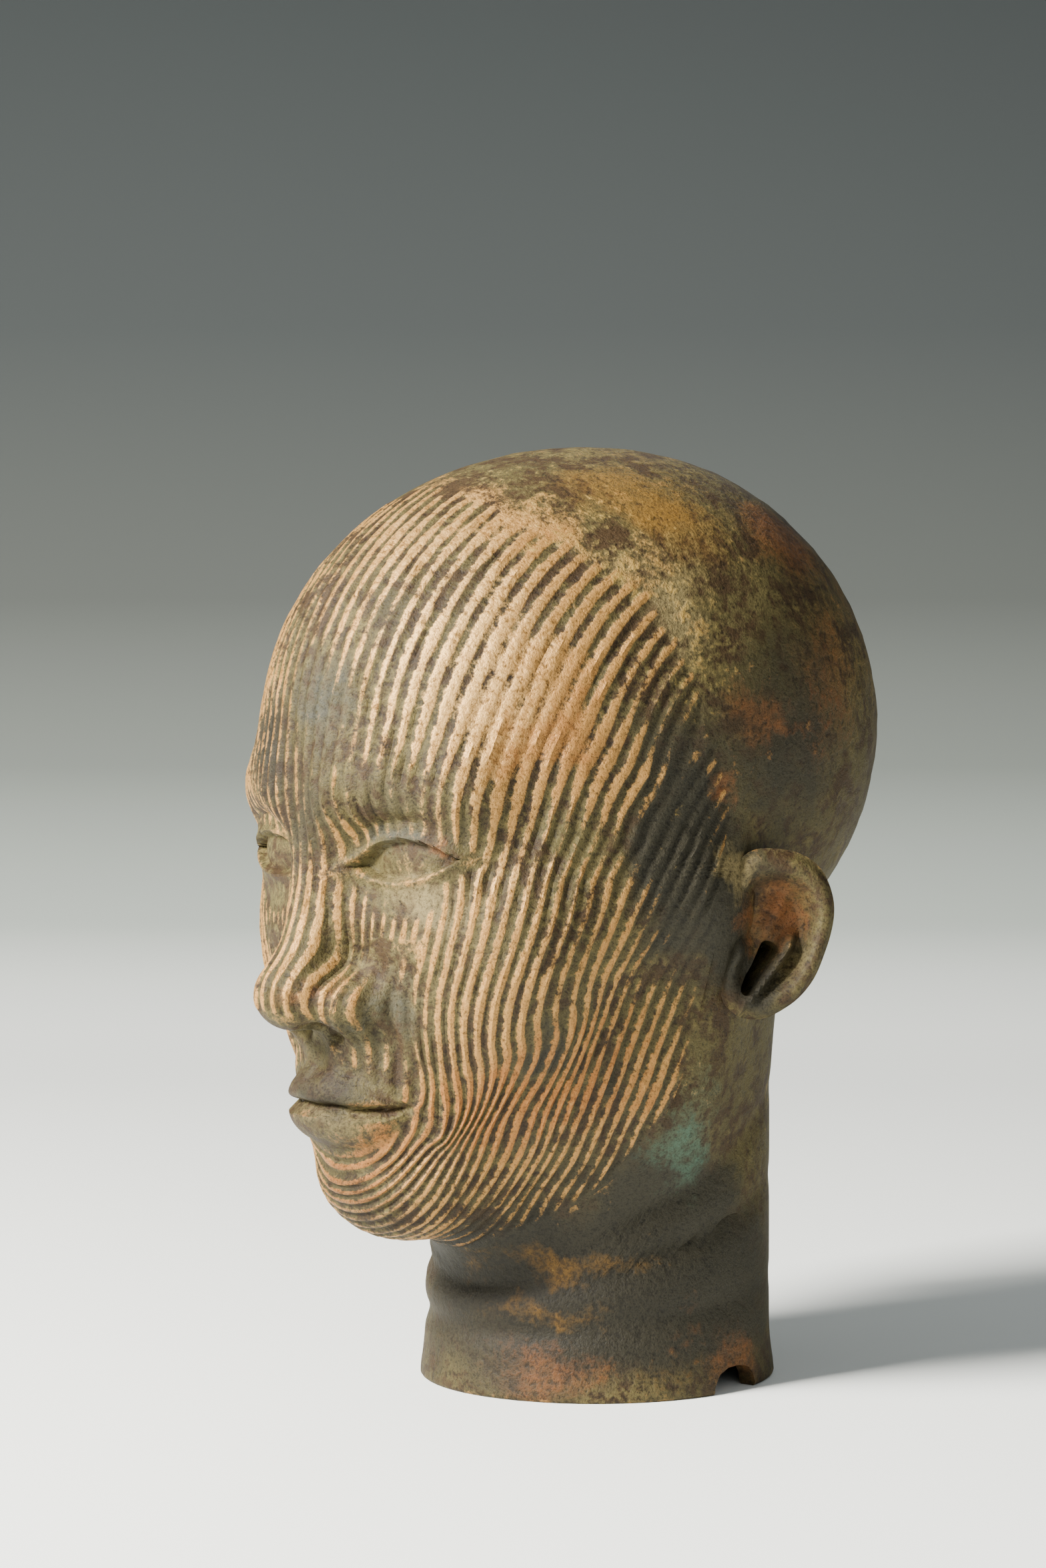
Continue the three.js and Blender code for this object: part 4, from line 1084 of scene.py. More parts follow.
class HalfShell:
    """Points, their values and faces, gathered for the head's own left half."""

    def __init__(self) -> None:
        """Starts empty."""
        self.points: list[Array] = []
        self.values: list[Array] = []
        self.faces: list[list[int]] = []
        self.total = 0

    def add(self, points: Array, values: Array | None = None) -> Array:
        """Adds places with their ridge count and ridge share.

        Args:
            points: Places, in any number of rows.
            values: Two values for each place, or None for nought.

        Returns:
            The new numbers, in the same rows.
        """
        flat = points.reshape(-1, 3)
        self.points.append(flat)
        self.values.append(np.zeros((len(flat), 2)) if values is None else values.reshape(-1, 2))
        numbers = np.arange(self.total, self.total + len(flat)).reshape(points.shape[:-1])
        self.total += len(flat)
        return numbers

    def grid(self, numbers: Array) -> None:
        """Fills a grid of points with four-sided faces."""
        a, b, c, d = numbers[:-1, :-1], numbers[:-1, 1:], numbers[1:, 1:], numbers[1:, :-1]
        self.faces.extend(np.stack([a.ravel(), b.ravel(), c.ravel(), d.ravel()], 1).tolist())

    def zip(self, one: Array, one_at: Array, two: Array, two_at: Array) -> None:
        """Joins two lines of points that needn't have as many points.

        Args:
            one: Numbers of the first line's points.
            one_at: A rising value for each.
            two: Numbers of the second line's points.
            two_at: A rising value for each.
        """
        i, j = 0, 0
        while i < len(one) - 1 or j < len(two) - 1:
            next_one = one_at[i + 1] if i < len(one) - 1 else math.inf
            next_two = two_at[j + 1] if j < len(two) - 1 else math.inf
            if abs(next_one - next_two) < 1e-9:
                self.faces.append([int(one[i]), int(one[i + 1]), int(two[j + 1]), int(two[j])])
                i, j = i + 1, j + 1
            elif next_one < next_two:
                self.faces.append([int(one[i]), int(one[i + 1]), int(two[j])])
                i += 1
            else:
                self.faces.append([int(two[j]), int(one[i]), int(two[j + 1])])
                j += 1


@dataclass
class Border:
    """Line of points with a rising value for each, and which of them go on downwards."""

    numbers: Array
    at: Array
    keep: Array


def only_none() -> None:
    """Deselects everything."""
    for other in bpy.context.view_layer.objects:
        other.select_set(False)


def only(piece: Piece) -> None:
    """Selects one object alone and makes it active."""
    only_none()
    piece.select_set(True)
    bpy.context.view_layer.objects.active = piece


def new_mesh(name: str, points: Array, faces: list[list[int]]) -> Piece:
    """Makes an object from points in mm and faces.

    Args:
        name: Its name.
        points: Places in mm.
        faces: Numbers of each face's points.

    Returns:
        The new piece.
    """
    mesh = bpy.data.meshes.new(name)
    mesh.from_pydata((points * MM).tolist(), [], faces)
    piece = bpy.data.objects.new(name, mesh)
    bpy.context.scene.collection.objects.link(piece)
    return piece


def tidy(piece: Piece, gap: float) -> None:
    """Merges points that lie together and turns all faces outwards.

    Args:
        piece: The piece.
        gap: How near points are merged, in metres.
    """
    only(piece)
    bpy.ops.object.mode_set(mode="EDIT")
    bpy.ops.mesh.select_all(action="SELECT")
    bpy.ops.mesh.remove_doubles(threshold=gap)
    bpy.ops.mesh.dissolve_degenerate(threshold=1e-7)
    bpy.ops.mesh.select_all(action="SELECT")
    bpy.ops.mesh.normals_make_consistent(inside=False)
    bpy.ops.object.mode_set(mode="OBJECT")


def combine(piece: Piece, other: Piece, operation: str) -> None:
    """Joins or cuts a piece with another, which is then deleted.

    Args:
        piece: The piece that is changed.
        other: The piece that is used up.
        operation: UNION or DIFFERENCE.
    """
    only(piece)
    bpy.ops.object.modifier_add(type="BOOLEAN")
    modifier = piece.modifiers[-1]
    modifier.operation = operation
    modifier.solver = "MANIFOLD"
    modifier.object = other
    bpy.ops.object.modifier_apply(modifier=modifier.name)
    only(other)
    bpy.ops.object.delete()


def close_midline(rows: Array, back: int, low: int) -> None:
    """Draws the points that belong on the midline onto it.

    Args:
        rows: Points in rows and columns, the first column on the midline.
        back: How many of the first rows turn round the back of the head.
        low: How many of the last rows turn round the mouth.
    """
    rows[:, 0, 0] = 0
    if back:
        rows[:back, 0] = rows[back - 1, 0]
        rows[0, :, 0] = 0
    if low:
        rows[-low:, 0] = rows[-low, 0]
        rows[-1, :, 0] = 0


@dataclass
class Shell:
    """The casting's two skins and its rim, made for one half and mirrored.

    Lengths are in mm, and the rows' knots, gaps, steps and ends in degrees. The rows round the mouth
    count as turned by low_turn when the hairline is looked for.
    """

    form: HeadForm = field(default_factory=HeadForm)
    ridges: Ridges = field(default_factory=Ridges)
    ridge_parts: Row = (0.0, 0.29, 0.5, 0.71)
    face_knots: Row = (-33.4, -26, -18, -10, 0, 9, 16, 40, 74)
    face_gaps: Row = (0.46, 0.46, 0.5, 0.6, 0.46, 0.5, 0.62, 0.95, 1.05)
    low_rows: int = 56
    low_turn: float = math.radians(-40)
    scalp_step: float = 2.5
    scalp_end: float = 75.5
    scalp_columns: int = 4
    back_rows: int = 18
    hollow_step: float = 7.1
    hollow_columns: int = 13
    hollow_back_rows: int = 7
    hollow_low_rows: int = 8
    hollow_neck_rows: int = 22
    neck_columns: int = 4
    neck_rows: int = 48
    neck_far: float = 95.0
    rim_from: float = 1.0
    rim_middle: float = 0.65
    rim_round: float = 0.7
    rim_share: float = 0.3
    seam_gap: float = 2e-5
    merge_gap: float = 1e-5
    waver: Unevenness = Unevenness(5, 40, 7)
    worn: Unevenness = Unevenness(8, 26, 5)
    ridge_waver: float = 0.075
    ridge_worn: float = 0.14
    ridge_height: float = 0.9
    depth_worn: float = 0.22
    scalp_worn: float = 0.3
    scalp_waver: float = 0.15

    def build(self, name: str) -> Piece:
        """Makes the closed hollow shell without its ears.

        Args:
            name: The piece's name.

        Returns:
            The new piece.
        """
        self.layout = Layout(self.form, self.ridges)
        half = HalfShell()
        border = self.add_outside(half)
        outer = self.add_neck(half, border, self.form.outside, self.neck_rows, self.rim_round)
        border = self.add_hollow(half)
        inner = self.add_neck(half, border, self.form.inside, self.hollow_neck_rows, -self.rim_round)
        half.zip(outer.numbers, outer.at, inner.numbers, inner.at)
        return self.mirrored(name, half)

    def add_outside(self, half: HalfShell) -> Border:
        """Adds the face with its ridges and the plain scalp.

        Args:
            half: The shell that gets the points.

        Returns:
            The skin's border, from nape to chin.
        """
        coarse = 1.0
        layout, most = self.layout, self.ridges.each_side
        count = np.array([k + p for k in range(math.ceil(most)) for p in self.ridge_parts if k + p <= most])
        shares = np.interp(count, layout.count, layout.distance) / layout.width
        face = self.add_face(half, shares, coarse)
        few = np.unique(np.concatenate([np.arange(0, len(count), self.scalp_columns), [len(count) - 1]]))
        plain = self.add_scalp(half, shares[few], coarse)
        half.zip(plain[-1], few.astype(float), face[0], np.arange(len(count), dtype=float))
        border = np.concatenate([plain[:, -1], face[:, -1]])
        keep = np.concatenate([np.ones(len(plain), bool), np.arange(len(face)) % self.neck_columns == 0])
        keep[-1] = True
        return Border(border, np.arange(len(border), dtype=float), keep)

    def straight_out(self, points: Array) -> Array:
        """Gives unit directions straight out of the head at places in rows and columns."""
        ways = gradient(self.form.outside, points.reshape(-1, 3)).reshape(points.shape)
        return ways / np.maximum(np.linalg.norm(ways, axis=-1, keepdims=True), 1e-9)

    def add_face(self, half: HalfShell, shares: Array, coarse: float) -> Array:
        """Adds the ridged face from the hairline to the chin.

        Args:
            half: The shell that gets the points.
            shares: Each column's share of the way to the border.
            coarse: How much wider than usual the rows are spaced.

        Returns:
            The points' numbers, in rows and columns.
        """
        layout, ridges = self.layout, self.ridges
        fan = np.radians(spaced_rows(self.face_knots, [gap * coarse for gap in self.face_gaps]))[::-1]
        low = np.linspace(0, math.pi / 2, int(self.low_rows / coarse) + 1)

        def both(make: Callable[[Family, Array], Array]) -> Array:
            """Joins what is made for the two families, which share a row."""
            return np.concatenate([make(Family.FAN, fan), make(Family.LOW, low)[1:]])

        face = both(lambda family, turns: layout.rows(family, turns, shares, self.form.outside))
        arcs = both(lambda family, turns: layout.arcs(family, turns, shares))
        turn = np.concatenate([fan, np.full(len(low) - 1, self.low_turn)])
        counts, whole = ridges.count_at(face, both(layout.levels), arcs)
        show = whole * ridges.show(self.form, face, turn[:, None], counts, arcs, both(layout.ends) - arcs)
        worn = self.worn(face)
        height = ridges.height(counts + self.ridge_waver * self.waver(face))
        height = height * (self.ridge_height + self.ridge_worn * worn)
        depth = show * ((ridges.rise + ridges.groove) * height - ridges.groove)
        depth = depth * (1 + self.depth_worn * worn)
        face = face + self.straight_out(face) * depth[..., None]
        close_midline(face, 0, len(low))
        numbers = half.add(face, np.stack([counts, show], -1))
        half.grid(numbers)
        return numbers

    def add_scalp(self, half: HalfShell, shares: Array, coarse: float) -> Array:
        """Adds the slightly uneven scalp from the nape to the hairline.

        Args:
            half: The shell that gets the points.
            shares: Each column's share of the way to the border.
            coarse: How much wider than usual the rows are spaced.

        Returns:
            The points' numbers, in rows and columns.
        """
        top = np.radians(np.arange(180, self.scalp_end, -self.scalp_step * coarse))
        back = np.radians(np.linspace(90, 0, int(self.back_rows / coarse)))
        scalp = np.concatenate([self.layout.rows(Family.BACK, back, shares, self.form.outside)[:-1],
                                self.layout.rows(Family.FAN, top, shares, self.form.outside)])
        uneven = self.scalp_worn * self.worn(scalp) + self.scalp_waver * self.waver(scalp)
        scalp = scalp + self.straight_out(scalp) * uneven[..., None]
        close_midline(scalp, len(back), 0)
        numbers = half.add(scalp)
        half.grid(numbers)
        return numbers

    def add_hollow(self, half: HalfShell) -> Border:
        """Adds the hollow's wall behind the face and the skull.

        Args:
            half: The shell that gets the points.

        Returns:
            The skin's border, from nape to chin.
        """
        layout, wall, inside = self.layout, self.form.wall, self.form.inside
        shares = np.linspace(0, 1, self.hollow_columns)
        back = np.radians(np.linspace(90, 0, self.hollow_back_rows))
        fan = np.radians(np.arange(180, math.degrees(MOUTH_TURN) - 0.1, -self.hollow_step))
        fan[-1] = MOUTH_TURN
        low = np.radians(np.linspace(0, 90, self.hollow_low_rows))
        skin = np.concatenate([layout.rows(Family.BACK, back, shares, inside, wall)[:-1],
                               layout.rows(Family.FAN, fan, shares, inside, wall),
                               layout.rows(Family.LOW, low, shares, inside, wall)[1:]])
        close_midline(skin, len(back), len(low))
        numbers = half.add(skin)
        half.grid(numbers)
        return Border(numbers[:, -1], np.arange(len(numbers), dtype=float), np.ones(len(numbers), bool))

    def add_neck(self, half: HalfShell, border: Border, form: Form, rows: int, rim: float) -> Border:
        """Carries a skin from its border down to the rim.

        Args:
            half: The shell that gets the points.
            border: The skin's border, from the nape to the chin.
            form: The form that the skin follows.
            rows: How many rows there are.
            rim: Radius of the rim's rounded edge, positive towards the outside.

        Returns:
            The skin's foot, from the chin to the nape.
        """
        edge = np.concatenate(half.points)[border.numbers[border.keep]]
        turns = np.arctan2(edge[:, 0], -(edge[:, 1] - self.form.neck_y))
        turns = np.maximum.accumulate(turns[::-1])[::-1]
        turns[0], turns[-1] = math.pi, 0.0
        gaps = np.linalg.norm(np.diff(edge, axis=0), axis=1)
        along = np.concatenate([np.cumsum(gaps[::-1])[::-1], [0.0]])
        foot_turns = along / along[0] * math.pi
        share = np.linspace(0, 1, rows + 1)[1:, None]
        z = edge[None, :, 2] * (1 - share) + self.rim_from * share
        turn = turns[None, :] * (1 - share) + foot_turns[None, :] * share
        ways = np.stack([np.sin(turn), -np.cos(turn), 0 * turn], -1).reshape(-1, 3)
        origin = np.stack([0 * z, 0 * z + self.form.neck_y, z], -1).reshape(-1, 3)
        reach = march(form, origin, ways, self.neck_far, Sheet.first_steps)
        skin = (origin + ways * reach[:, None]).reshape(*z.shape, 3)
        last = skin[-1]
        side = last - np.array([0.0, self.form.neck_y, self.rim_from])
        side /= np.linalg.norm(side, axis=1, keepdims=True)
        low = last - side * self.rim_share * rim + np.array([0, 0, -self.rim_middle])
        foot = last - side * rim + np.array([0, 0, -self.rim_from])
        skin = np.concatenate([skin, low[None], foot[None]])
        skin[:, [0, -1], 0] = 0
        numbers = half.add(skin)
        half.zip(border.numbers, border.at, numbers[0], border.at[border.keep])
        half.grid(numbers)
        return Border(numbers[-1][::-1], foot_turns[::-1], np.ones(len(foot_turns), bool))

    def mirrored(self, name: str, half: HalfShell) -> Piece:
        """Makes the mesh of one half and mirrors it.

        Args:
            name: The piece's name.
            half: The half shell.

        Returns:
            The new piece.
        """
        piece = new_mesh(name, np.concatenate(half.points), half.faces)
        values = np.concatenate(half.values)
        for column, label in enumerate(("ridge_count", "ridged")):
            layer = piece.data.attributes.new(label, "FLOAT", "POINT")
            layer.data.foreach_set("value", values[:, column].astype(np.float32))
        only(piece)
        bpy.ops.object.modifier_add(type="MIRROR")
        modifier = piece.modifiers[-1]
        modifier.use_mirror_merge = True
        modifier.merge_threshold = self.seam_gap
        bpy.ops.object.modifier_apply(modifier=modifier.name)
        tidy(piece, self.merge_gap)
        return piece


@dataclass
class Ear:
    """Stylised ear: a folded rim round a bowl, with a slanted slot through to the hollow."""

    middle: Triple = (77.5, 16.0, 146.0)
    stand: float = math.radians(27)
    lean: float = math.radians(6)
    height: float = 11.0
    root: float = -14.0
    sectors: int = 84
    turns: Row = (-180, -150, -118, -96, -70, -45, -15, 10, 40, 65, 92, 115, 145, 180)
    reaches: Row = (12, 15, 25, 26, 21.8, 18.8, 17.2, 18.6, 23, 26.6, 27.5, 27, 17, 12)
    slot_top: Pair = (1.5, -1.5)
    slot_foot: Pair = (-6.5, -18.5)
    slot_half: float = 2.3
    slot_out: float = 14.0
    slot_in: float = -24.0
    slot_uneven: Pair = (1.2, 0.8)
    bowl: Pair = (1.2, 0.12)
    edge_shares: Row = (0.875, 0.91, 0.94, 0.97, 0.99, 1.0)
    inner_height: float = 6.2
    fold_height: float = 1.6
    flap_height: float = 3.4

    def place(self, u: Array, v: Array, w: Array, side: int) -> Array:
        """Turns places in the ear's own plane into places on the head.

        Args:
            u: Places across the ear, to the back.
            v: Places up the ear.
            w: Heights above its plane.
            side: One for the left ear, minus one for the right.

        Returns:
            Places on the head.
        """
        across = u * math.cos(self.lean) + v * math.sin(self.lean)
        up = v * math.cos(self.lean) - u * math.sin(self.lean)
        x = self.middle[0] + across * math.sin(self.stand) + w * math.cos(self.stand)
        y = self.middle[1] + across * math.cos(self.stand) - w * math.sin(self.stand)
        return np.stack([side * x, y, self.middle[2] + up], -1)

    def reach(self, turn: Array) -> Array:
        """Gives how far the outline is from the ear's middle."""
        return knot_curve(np.radians(self.turns), np.array(self.reaches, float), turn)

    def rim(self, turn: Array) -> Array:
        """Gives how far the rim stands out."""
        front = np.minimum(bell(turn, math.pi, 0.95) + bell(turn, -math.pi, 0.95), 1)
        return self.height * (1 - 0.55 * front - 0.4 * bell(turn, math.radians(-105), 0.55))

    def face(self, u: Array, v: Array, share: Array, turn: Array) -> Array:
        """Gives the height of the ear's carved face: rim, bowl, inner ridge, upper fold and front flap.

        Args:
            u: Places across the ear.
            v: Places up the ear.
            share: Shares of the reach.
            turn: Turns round the ear's middle.

        Returns:
            Heights above the ear's plane.
        """
        rim = self.rim(turn)
        bowl = self.bowl[0] + self.bowl[1] * rim
        h = bowl + (rim - bowl) * ease(0.5, 0.8, share)
        h = h - ease(0.88, 1, share) * 2.2
        along = np.clip((v - 2) / -26, 0, 1)
        inner = self.inner_height * bell(u, 7 - 15 * along ** 1.25, 2.4)
        h = np.maximum(h, bowl + inner * ease(4, -2, v) * ease(-30, -22, v))
        fold = -2 + 8 * np.clip((v + 2) / 22, 0, 1)
        h = h + self.fold_height * bell(u, fold, 3) * ease(-4, 3, v) * ease(20, 12, v)
        return h + self.flap_height * np.exp(-((u + 9) ** 2 / 14 + (v + 5) ** 2 / 26))

    def build(self, name: str, side: int) -> Piece:
        """Makes one ear as a closed body that is rooted in the head.

        Args:
            name: The piece's name.
            side: One for the left ear, minus one for the right.

        Returns:
            The new piece.
        """
        turn = np.linspace(-math.pi, math.pi, self.sectors + 1)[:-1]
        face_shares = np.concatenate([np.linspace(0.04, 0.84, 22), self.edge_shares])
        shares, turns = np.meshgrid(face_shares, turn, indexing="ij")
        reach = self.reach(turns) * shares
        u, v = reach * np.cos(turns), reach * np.sin(turns)
        rows = [self.place(u, v, self.face(u, v, shares, turns), side)]
        rows += [self.place(r * np.cos(turn), r * np.sin(turn), w, side)[None] for r, w in self.back(turn)]
        points = np.concatenate(rows)
        numbers = np.arange(points.shape[0] * points.shape[1]).reshape(points.shape[:2])
        after = np.roll(numbers, -1, axis=1)
        faces = np.stack([numbers[:-1], numbers[1:], after[1:], after[:-1]], -1).reshape(-1, 4).tolist()
        faces += [numbers[0].tolist(), numbers[-1].tolist()]
        piece = new_mesh(name, points.reshape(-1, 3), faces)
        tidy(piece, 1e-6)
        return piece

    def back(self, turn: Array) -> list[tuple[Array, Array]]:
        """Gives reach and height of each row round the ear's back, down to its root in the head.

        Args:
            turn: Turns round the ear's middle.

        Returns:
            A reach and a height for each row.
        """
        rim = self.rim(turn)
        slot = np.maximum(bell(turn, math.radians(-110), 0.75), bell(turn, math.radians(250), 0.75))
        lowered = np.minimum(rim - 3.6, 4.4)
        behind = np.minimum(rim - 8, 0.5)
        root = np.full_like(rim, self.root)
        rows = [(0.985, lowered + 1.6), (0.94, lowered)]
        rows += [(share + (0.88 - share) * slot, height) for share, height in (
            (0.86, 0.5 * (lowered + behind)), (0.76, behind), (0.65, 0.5 * (behind + root)), (0.56, root))]
        return [(self.reach(turn) * share, height) for share, height in rows]

    def slot(self, name: str, side: int) -> Piece:
        """Makes the cutter of the slot, from a stretched cylinder.

        Args:
            name: The piece's name.
            side: One for the left ear, minus one for the right.

        Returns:
            The new piece.
        """
        top, foot = np.array(self.slot_top), np.array(self.slot_foot)
        middle = 0.5 * (top + foot)
        along = (top - foot) / np.linalg.norm(top - foot)
        long = float(np.linalg.norm(top - foot)) / 2 - self.slot_half
        only_none()
        bpy.ops.mesh.primitive_cylinder_add(vertices=28, radius=1.0, depth=2.0)
        piece = bpy.context.object
        piece.name = name
        local = np.array([list(vertex.co) for vertex in piece.data.vertices])
        e = local[:, 0] * self.slot_half + np.sign(local[:, 0]) * long
        f = local[:, 1] * self.slot_half * np.where(local[:, 0] > 0, *self.slot_uneven)
        w = np.where(local[:, 2] > 0, self.slot_out, self.slot_in)
        u = middle[0] + along[0] * e - along[1] * f
        v = middle[1] + along[1] * e + along[0] * f
        placed = self.place(u, v, w, side) * MM
        for vertex, co in zip(piece.data.vertices, placed):
            vertex.co = co
        tidy(piece, 1e-7)
        return piece


@dataclass
class Notch:
    """Arch broken out of the rim on the head's own left."""

    azimuth: float = math.radians(102)
    width: float = 21.0
    height: float = 8.0
    start: float = 30.0
    through: float = 45.0
    worn: float = 0.0006

    def build(self, name: str, neck_y: float) -> Piece:
        """Makes the cutter as an uneven arch that runs out through the wall.

        Args:
            name: The piece's name.
            neck_y: Where the neck's middle is.

        Returns:
            The new piece.
        """
        half, h = self.width / 2, self.height
        outline = [(-half - 0.4, -5), (half + 0.3, -5), (half, 1.4), (half - 0.9, 4.2),
                   (half - 2.8, h - 1.6), (half - 5.6, h - 0.5), (1.2, h), (-3.6, h - 0.2),
                   (2.6 - half, h - 1.9), (1.1 - half, h - 4.1), (-half, 2)]
        out = np.array([math.sin(self.azimuth), -math.cos(self.azimuth), 0.0])
        across = np.array([-out[1], out[0], 0.0])
        near = np.array([across * a + np.array([0, 0, b]) for a, b in outline])
        base = np.array([0, neck_y, 0]) + out * self.start
        points = np.concatenate([near + base, near + base + out * self.through])
        n = len(outline)
        faces = [[k, (k + 1) % n, n + (k + 1) % n, n + k] for k in range(n)]
        faces += [list(range(n)), list(range(n, 2 * n))]
        piece = new_mesh(name, points, faces)
        tidy(piece, 1e-7)
        bpy.ops.object.modifier_add(type="BEVEL")
        piece.modifiers[-1].width = self.worn
        piece.modifiers[-1].segments = 2
        bpy.ops.object.modifier_apply(modifier=piece.modifiers[-1].name)
        return piece


@dataclass
class Head:
    """The one cast piece: shell, ears, slots through to the hollow, and the broken notch.

    The shift brings the head's own middle to the model's, and the inset is kept to the model's box, in mm.
    """

    name: str = "bronze_head"
    shift: Triple = (0.0, 5.198, 0.0)
    inset: float = 0.05
    smooth_angle: float = math.radians(38)
    wear_most: float = 0.6
    wear_rounds: int = 10
    wear_gain: float = 6
    shell: Shell = field(default_factory=Shell)
    ear: Ear = field(default_factory=Ear)
    notch: Notch = field(default_factory=Notch)

    def build(self) -> Piece:
        """Makes the finished piece."""
        head = self.shell.build(self.name)
        log.info("shell: %d faces", len(head.data.polygons))
        for side in (1, -1):
            combine(head, self.ear.build("ear", side), "UNION")
            combine(head, self.ear.slot("slot", side), "DIFFERENCE")
        combine(head, self.notch.build("notch", self.shell.form.neck_y), "DIFFERENCE")
        tidy(head, 5e-6)
        self.fit(head)
        only(head)
        bpy.ops.object.shade_smooth_by_angle(angle=self.smooth_angle)
        self.keep_wear(head)
        log.info("head: %d points", len(head.data.vertices))
        return head

    def fit(self, head: Piece) -> None:
        """Moves the piece to the model's frame and fits it just inside the model's box.

        Args:
            head: The piece.
        """
        mesh = head.data
        points = np.empty(len(mesh.vertices) * 3, np.float32)
        mesh.vertices.foreach_get("co", points)
        points = points.reshape(-1, 3).astype(float) + np.array(self.shift) * MM
        low, high = np.array(CAD_BOX)
        gap = self.inset * MM
        start, end = points.min(0), points.max(0)
        log.info("before fit: %s %s against %s %s", start, end, low, high)
        points = low + gap + (points - start) / (end - start) * (high - low - 2 * gap)
        mesh.vertices.foreach_set("co", points.ravel().astype(np.float32))
        mesh.update()

    def keep_wear(self, head: Piece) -> None:
        """Keeps on the mesh how far each place stands proud, where handling and weather wear it bare.

        Args:
            head: The piece.
        """
        mesh = head.data
        count = len(mesh.vertices)
        points, normals = np.empty(count * 3, np.float32), np.empty(count * 3, np.float32)
        mesh.vertices.foreach_get("co", points)
        mesh.vertex_normals.foreach_get("vector", normals)
        points, normals = points.reshape(-1, 3) / MM, normals.reshape(-1, 3)
        edges = np.empty(len(mesh.edges) * 2, np.int32)
        mesh.edges.foreach_get("vertices", edges)
        a, b = edges.reshape(-1, 2).T
        degree = np.bincount(a, minlength=count) + np.bincount(b, minlength=count)
        gap = points[b] - points[a]
        length = (gap * gap).sum(1)
        bend_a = -(gap * normals[a]).sum(1) / length
        bend_b = (gap * normals[b]).sum(1) / length
        bend = np.bincount(a, bend_a, count) + np.bincount(b, bend_b, count)
        degree = np.maximum(degree, 1)
        bend = np.clip(bend / degree, -self.wear_most, self.wear_most)
        for _ in range(self.wear_rounds):
            around = np.bincount(a, bend[b], count) + np.bincount(b, bend[a], count)
            bend = (bend + around / degree) / 2
        layer = mesh.attributes.new("worn", "FLOAT", "POINT")
        layer.data.foreach_set("value", np.clip(bend * self.wear_gain, -1, 1).astype(np.float32))


# Finish: worn copper-alloy with a patina in patches, and painted shade in a few places

Value = Socket | float | tuple


def tone(red: int, green: int, blue: int) -> Row:
    """Turns a screen colour into a linear one."""
    out = [(c / 255 / 12.92) if c <= 10 else ((c / 255 + 0.055) / 1.055) ** 2.4 for c in (red, green, blue)]
    return (out[0], out[1], out[2], 1.0)


class Nodes:
    """Short calls that add and join a material's nodes."""

    def __init__(self, tree: bpy.types.NodeTree) -> None:
        """Keeps the tree."""
        self.tree = tree

    def feed(self, socket: Socket, value: Value) -> None:
        """Sets a socket, or links another to it.

        Args:
            socket: The socket that is fed.
            value: A number, a vector, a colour or another socket.
        """
        if isinstance(value, Socket):
            self.tree.links.new(value, socket)
        else:
            socket.default_value = value

    def add(self, kind: str, values: dict[str | int, Value], **settings: str) -> bpy.types.ShaderNode:
        """Adds a node.

        Args:
            kind: The node's kind.
            values: What each of its sockets is fed with.
            settings: How it is set up.

        Returns:
            The node.
        """
        node = self.tree.nodes.new(kind)
        for key, setting in settings.items():
            setattr(node, key, setting)
        for key, value in values.items():
            self.feed(node.inputs[key], value)
        return node

    def count(self, operation: str, *values: Value) -> Socket:
        """Adds a math node and gives its result."""
        return self.add("ShaderNodeMath", dict(enumerate(values)), operation=operation).outputs[0]

    def total(self, *terms: tuple[Value, float]) -> Value:
        """Adds values up, each with its weight.

        Args:
            terms: Pairs of a value and its weight.

        Returns:
            The sum.
        """
        out: Value = 0.0
        for value, weight in terms:
            out = self.count("MULTIPLY_ADD", value, weight, out)
        return out

    def vector(self, operation: str, a: Value, b: Value) -> bpy.types.ShaderNode:
        """Adds a vector node."""
        return self.add("ShaderNodeVectorMath", {0: a, 1: b}, operation=operation)

    def grown(self, value: Value, times: float) -> Socket:
        """Makes a vector so many times as long."""
        return self.add("ShaderNodeVectorMath", {0: value, "Scale": times}, operation="SCALE").outputs[0]

    def step(self, value: Value, low: float, high: float, end: float = 1.0) -> Socket:
        """Adds a smooth step, from nought at low to its end at high."""
        values = dict(enumerate((value, low, high, 0.0, end)))
        return self.add("ShaderNodeMapRange", values, interpolation_type="SMOOTHSTEP").outputs[0]

    def noise(self, place: Value, size: float, detail: float, rough: float) -> bpy.types.ShaderNode:
        """Adds noise whose largest features have about the given size in mm."""
        values = {"Vector": place, "Scale": 1.0 / size, "Detail": detail, "Roughness": rough}
        return self.add("ShaderNodeTexNoise", values)

    def blend(self, share: Value, a: Value, b: Value, kind: str = "MIX") -> Socket:
        """Mixes the given share of a second colour into a first."""
        values = {0: share, 6: a, 7: b}
        return self.add("ShaderNodeMix", values, data_type="RGBA", blend_type=kind).outputs[2]

    def attribute(self, name: str) -> Socket:
        """Reads a value kept on the mesh."""
        return self.add("ShaderNodeAttribute", {}, attribute_name=name).outputs["Fac"]


@dataclass(frozen=True)
class Stain:
    """Soft patch on the surface, in mm, with how strongly it tells."""

    centre: Row
    half: Row
    strength: float


Stains = tuple[Stain, ...]


def stains(*rows: Row) -> Stains:
    """Makes stains from rows that each give a centre, three half-axes and a strength."""
    return tuple(Stain(row[:3], row[3:6], row[6]) for row in rows)


@dataclass(frozen=True)
class Clouds:
    """Values over the surface that the patina is mixed from."""

    place: Value
    big: Value
    cloud: Value
    drift: Value
    middle: Value
    small: Value
    fine: Value
    ridged: Value
    crest: Value
    groove: Value
    worn: Value


